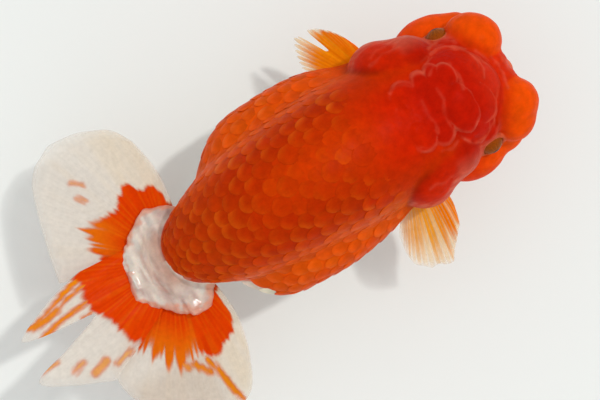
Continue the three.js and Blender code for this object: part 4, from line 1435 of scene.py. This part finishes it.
# ---------- eyes ----------
IRIS_OUTER, PUPIL_OUTER = 0.68, 0.32  # radians from the eye's own axis
EYE_RINGS, EYE_SIDES = 64, 72
IRIS_SWELL = 0.35  # how far the ball bulges over its iris
BALL_BROWN, BALL_REAR = srgb(144, 66, 4), srgb(160, 68, 12)
IRIS_GOLD, IRIS_BROWN = srgb(156, 78, 8), srgb(118, 54, 6)
PUPIL_BLACK = srgb(6, 4, 4)


def make_eyes():
    """Each ball is rings round the way it looks, out to its own side, closed by a point at either pole."""
    material = eye_material()
    for name, centre in EYES.items():
        side = math.copysign(1, centre[1])
        look = np.array([0.1, side, 0.02])
        look /= lengths_of(look)
        first = np.cross(look, (0, 0, 1))
        first /= lengths_of(first)
        second = np.cross(look, first)
        polar = np.linspace(0, math.pi, EYE_RINGS)[1:-1]
        turn = np.linspace(0, 2 * math.pi, EYE_SIDES, endpoint=False)
        a, t = np.meshgrid(polar, turn, indexing="ij")
        swell = EYE_RADIUS + IRIS_SWELL * step(IRIS_OUTER * 1.5, 0, a)
        points = (
            look * np.cos(a)[..., None]
            + (first * np.cos(t)[..., None] + second * np.sin(t)[..., None]) * np.sin(a)[..., None]
        ) * swell[..., None] + centre
        colour = mix(BALL_BROWN, BALL_REAR, step(0.9, 1.5, a))
        gold = mix(IRIS_GOLD, IRIS_BROWN, 0.5 + 0.5 * np.sin(t * 23) * np.sin(t * 7 + 1))
        colour = mix(colour, gold, step(IRIS_OUTER + 0.25, IRIS_OUTER - 0.05, a))
        colour = mix(colour, PUPIL_BLACK, step(PUPIL_OUTER + 0.03, PUPIL_OUTER - 0.03, a))
        index = np.arange(points.shape[0] * EYE_SIDES).reshape(-1, EYE_SIDES)
        beside = np.roll(index, -1, axis=1)
        faces = np.stack([index[:-1], index[1:], beside[1:], beside[:-1]], axis=-1)
        faces = faces.reshape(-1, 4).tolist()
        faces += [(index.size, a, b) for a, b in zip(index[0].tolist(), beside[0].tolist())]
        faces += [(a, index.size + 1, b) for a, b in zip(index[-1].tolist(), beside[-1].tolist())]
        poles = [look * swell[0, 0] + centre, centre - look * EYE_RADIUS]
        points = np.concatenate([points.reshape(-1, 3), poles])
        colour = np.concatenate([colour.reshape(-1, 3), colour[0, :1], colour[-1, :1]])
        new_piece(name + "_ball", points, faces, material, [name], colour)


# ---------- stand, floor, light and camera ----------
def dress_stand():
    white, steel = stand_material(), steel_material()
    for name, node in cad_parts.items():
        if name.startswith("stand_"):
            node.data.materials.clear()
            node.data.materials.append(white if name == "stand_base" else steel)


FLOOR_HALF = 3.0  # half the floor's side in metres


def make_floor():
    mesh = bpy.data.meshes.new("floor")
    corners = [(-1, -1), (1, -1), (1, 1), (-1, 1)]
    mesh.from_pydata([(FLOOR_HALF * x, FLOOR_HALF * y, 0) for x, y in corners], [], [(0, 1, 2, 3)])
    n = Nodes("floor_pale")
    n.mottled((0.83, 0.855, 0.83), (3, 3), 0.985, 1.0)
    n.shade(Roughness=0.6, Specular_IOR_Level=0.1)
    mesh.materials.append(n.material)
    floor = new_object("floor", mesh)


HEADING = math.radians(29)  # how far the fish points up from the picture's right
VIEW_CENTRE = (-7.24, -3.24)
VIEW_WIDTH = 158.7  # what the picture spans at the mid line
CAMERA_ABOVE = 560.0
SENSOR = 36.0


def make_camera():
    data = bpy.data.cameras.new("camera")
    data.sensor_width = SENSOR
    data.lens = SENSOR * CAMERA_ABOVE / VIEW_WIDTH
    camera = new_object("camera", data)
    place = to_row([(*VIEW_CENTRE, CAMERA_ABOVE)])[0]
    right = Vector((math.cos(HEADING), -math.sin(HEADING), 0))
    up = Vector((math.sin(HEADING), math.cos(HEADING), 0))
    turn = Matrix((right, up, (0, 0, 1))).transposed().to_4x4()
    camera.matrix_world = Matrix.Translation(place) @ turn
    bpy.context.scene.camera = camera


TOWARD_SUN = Vector((0.45, 0.015, 0.89))


def make_light():
    sun = bpy.data.lights.new("sun", "SUN")
    sun.energy = 1.0
    sun.angle = math.radians(3)
    sun.color = (1.0, 0.99, 0.965)
    lamp = new_object("sun", sun)
    lamp.rotation_euler = TOWARD_SUN.to_track_quat("Z", "Y").to_euler()
    world = bpy.data.worlds.new("studio")
    world.use_nodes = True
    background = world.node_tree.nodes["Background"]
    background.inputs["Color"].default_value = (0.98, 0.99, 1.0, 1)
    background.inputs["Strength"].default_value = 0.8
    bpy.context.scene.world = world
    bpy.context.scene.view_settings.view_transform = "Standard"


FIN_SKIN = fin_material()
make_skin()
make_scales()
make_fins()
make_eyes()
dress_stand()
make_floor()
make_light()
make_camera()

bpy.context.view_layer.update()
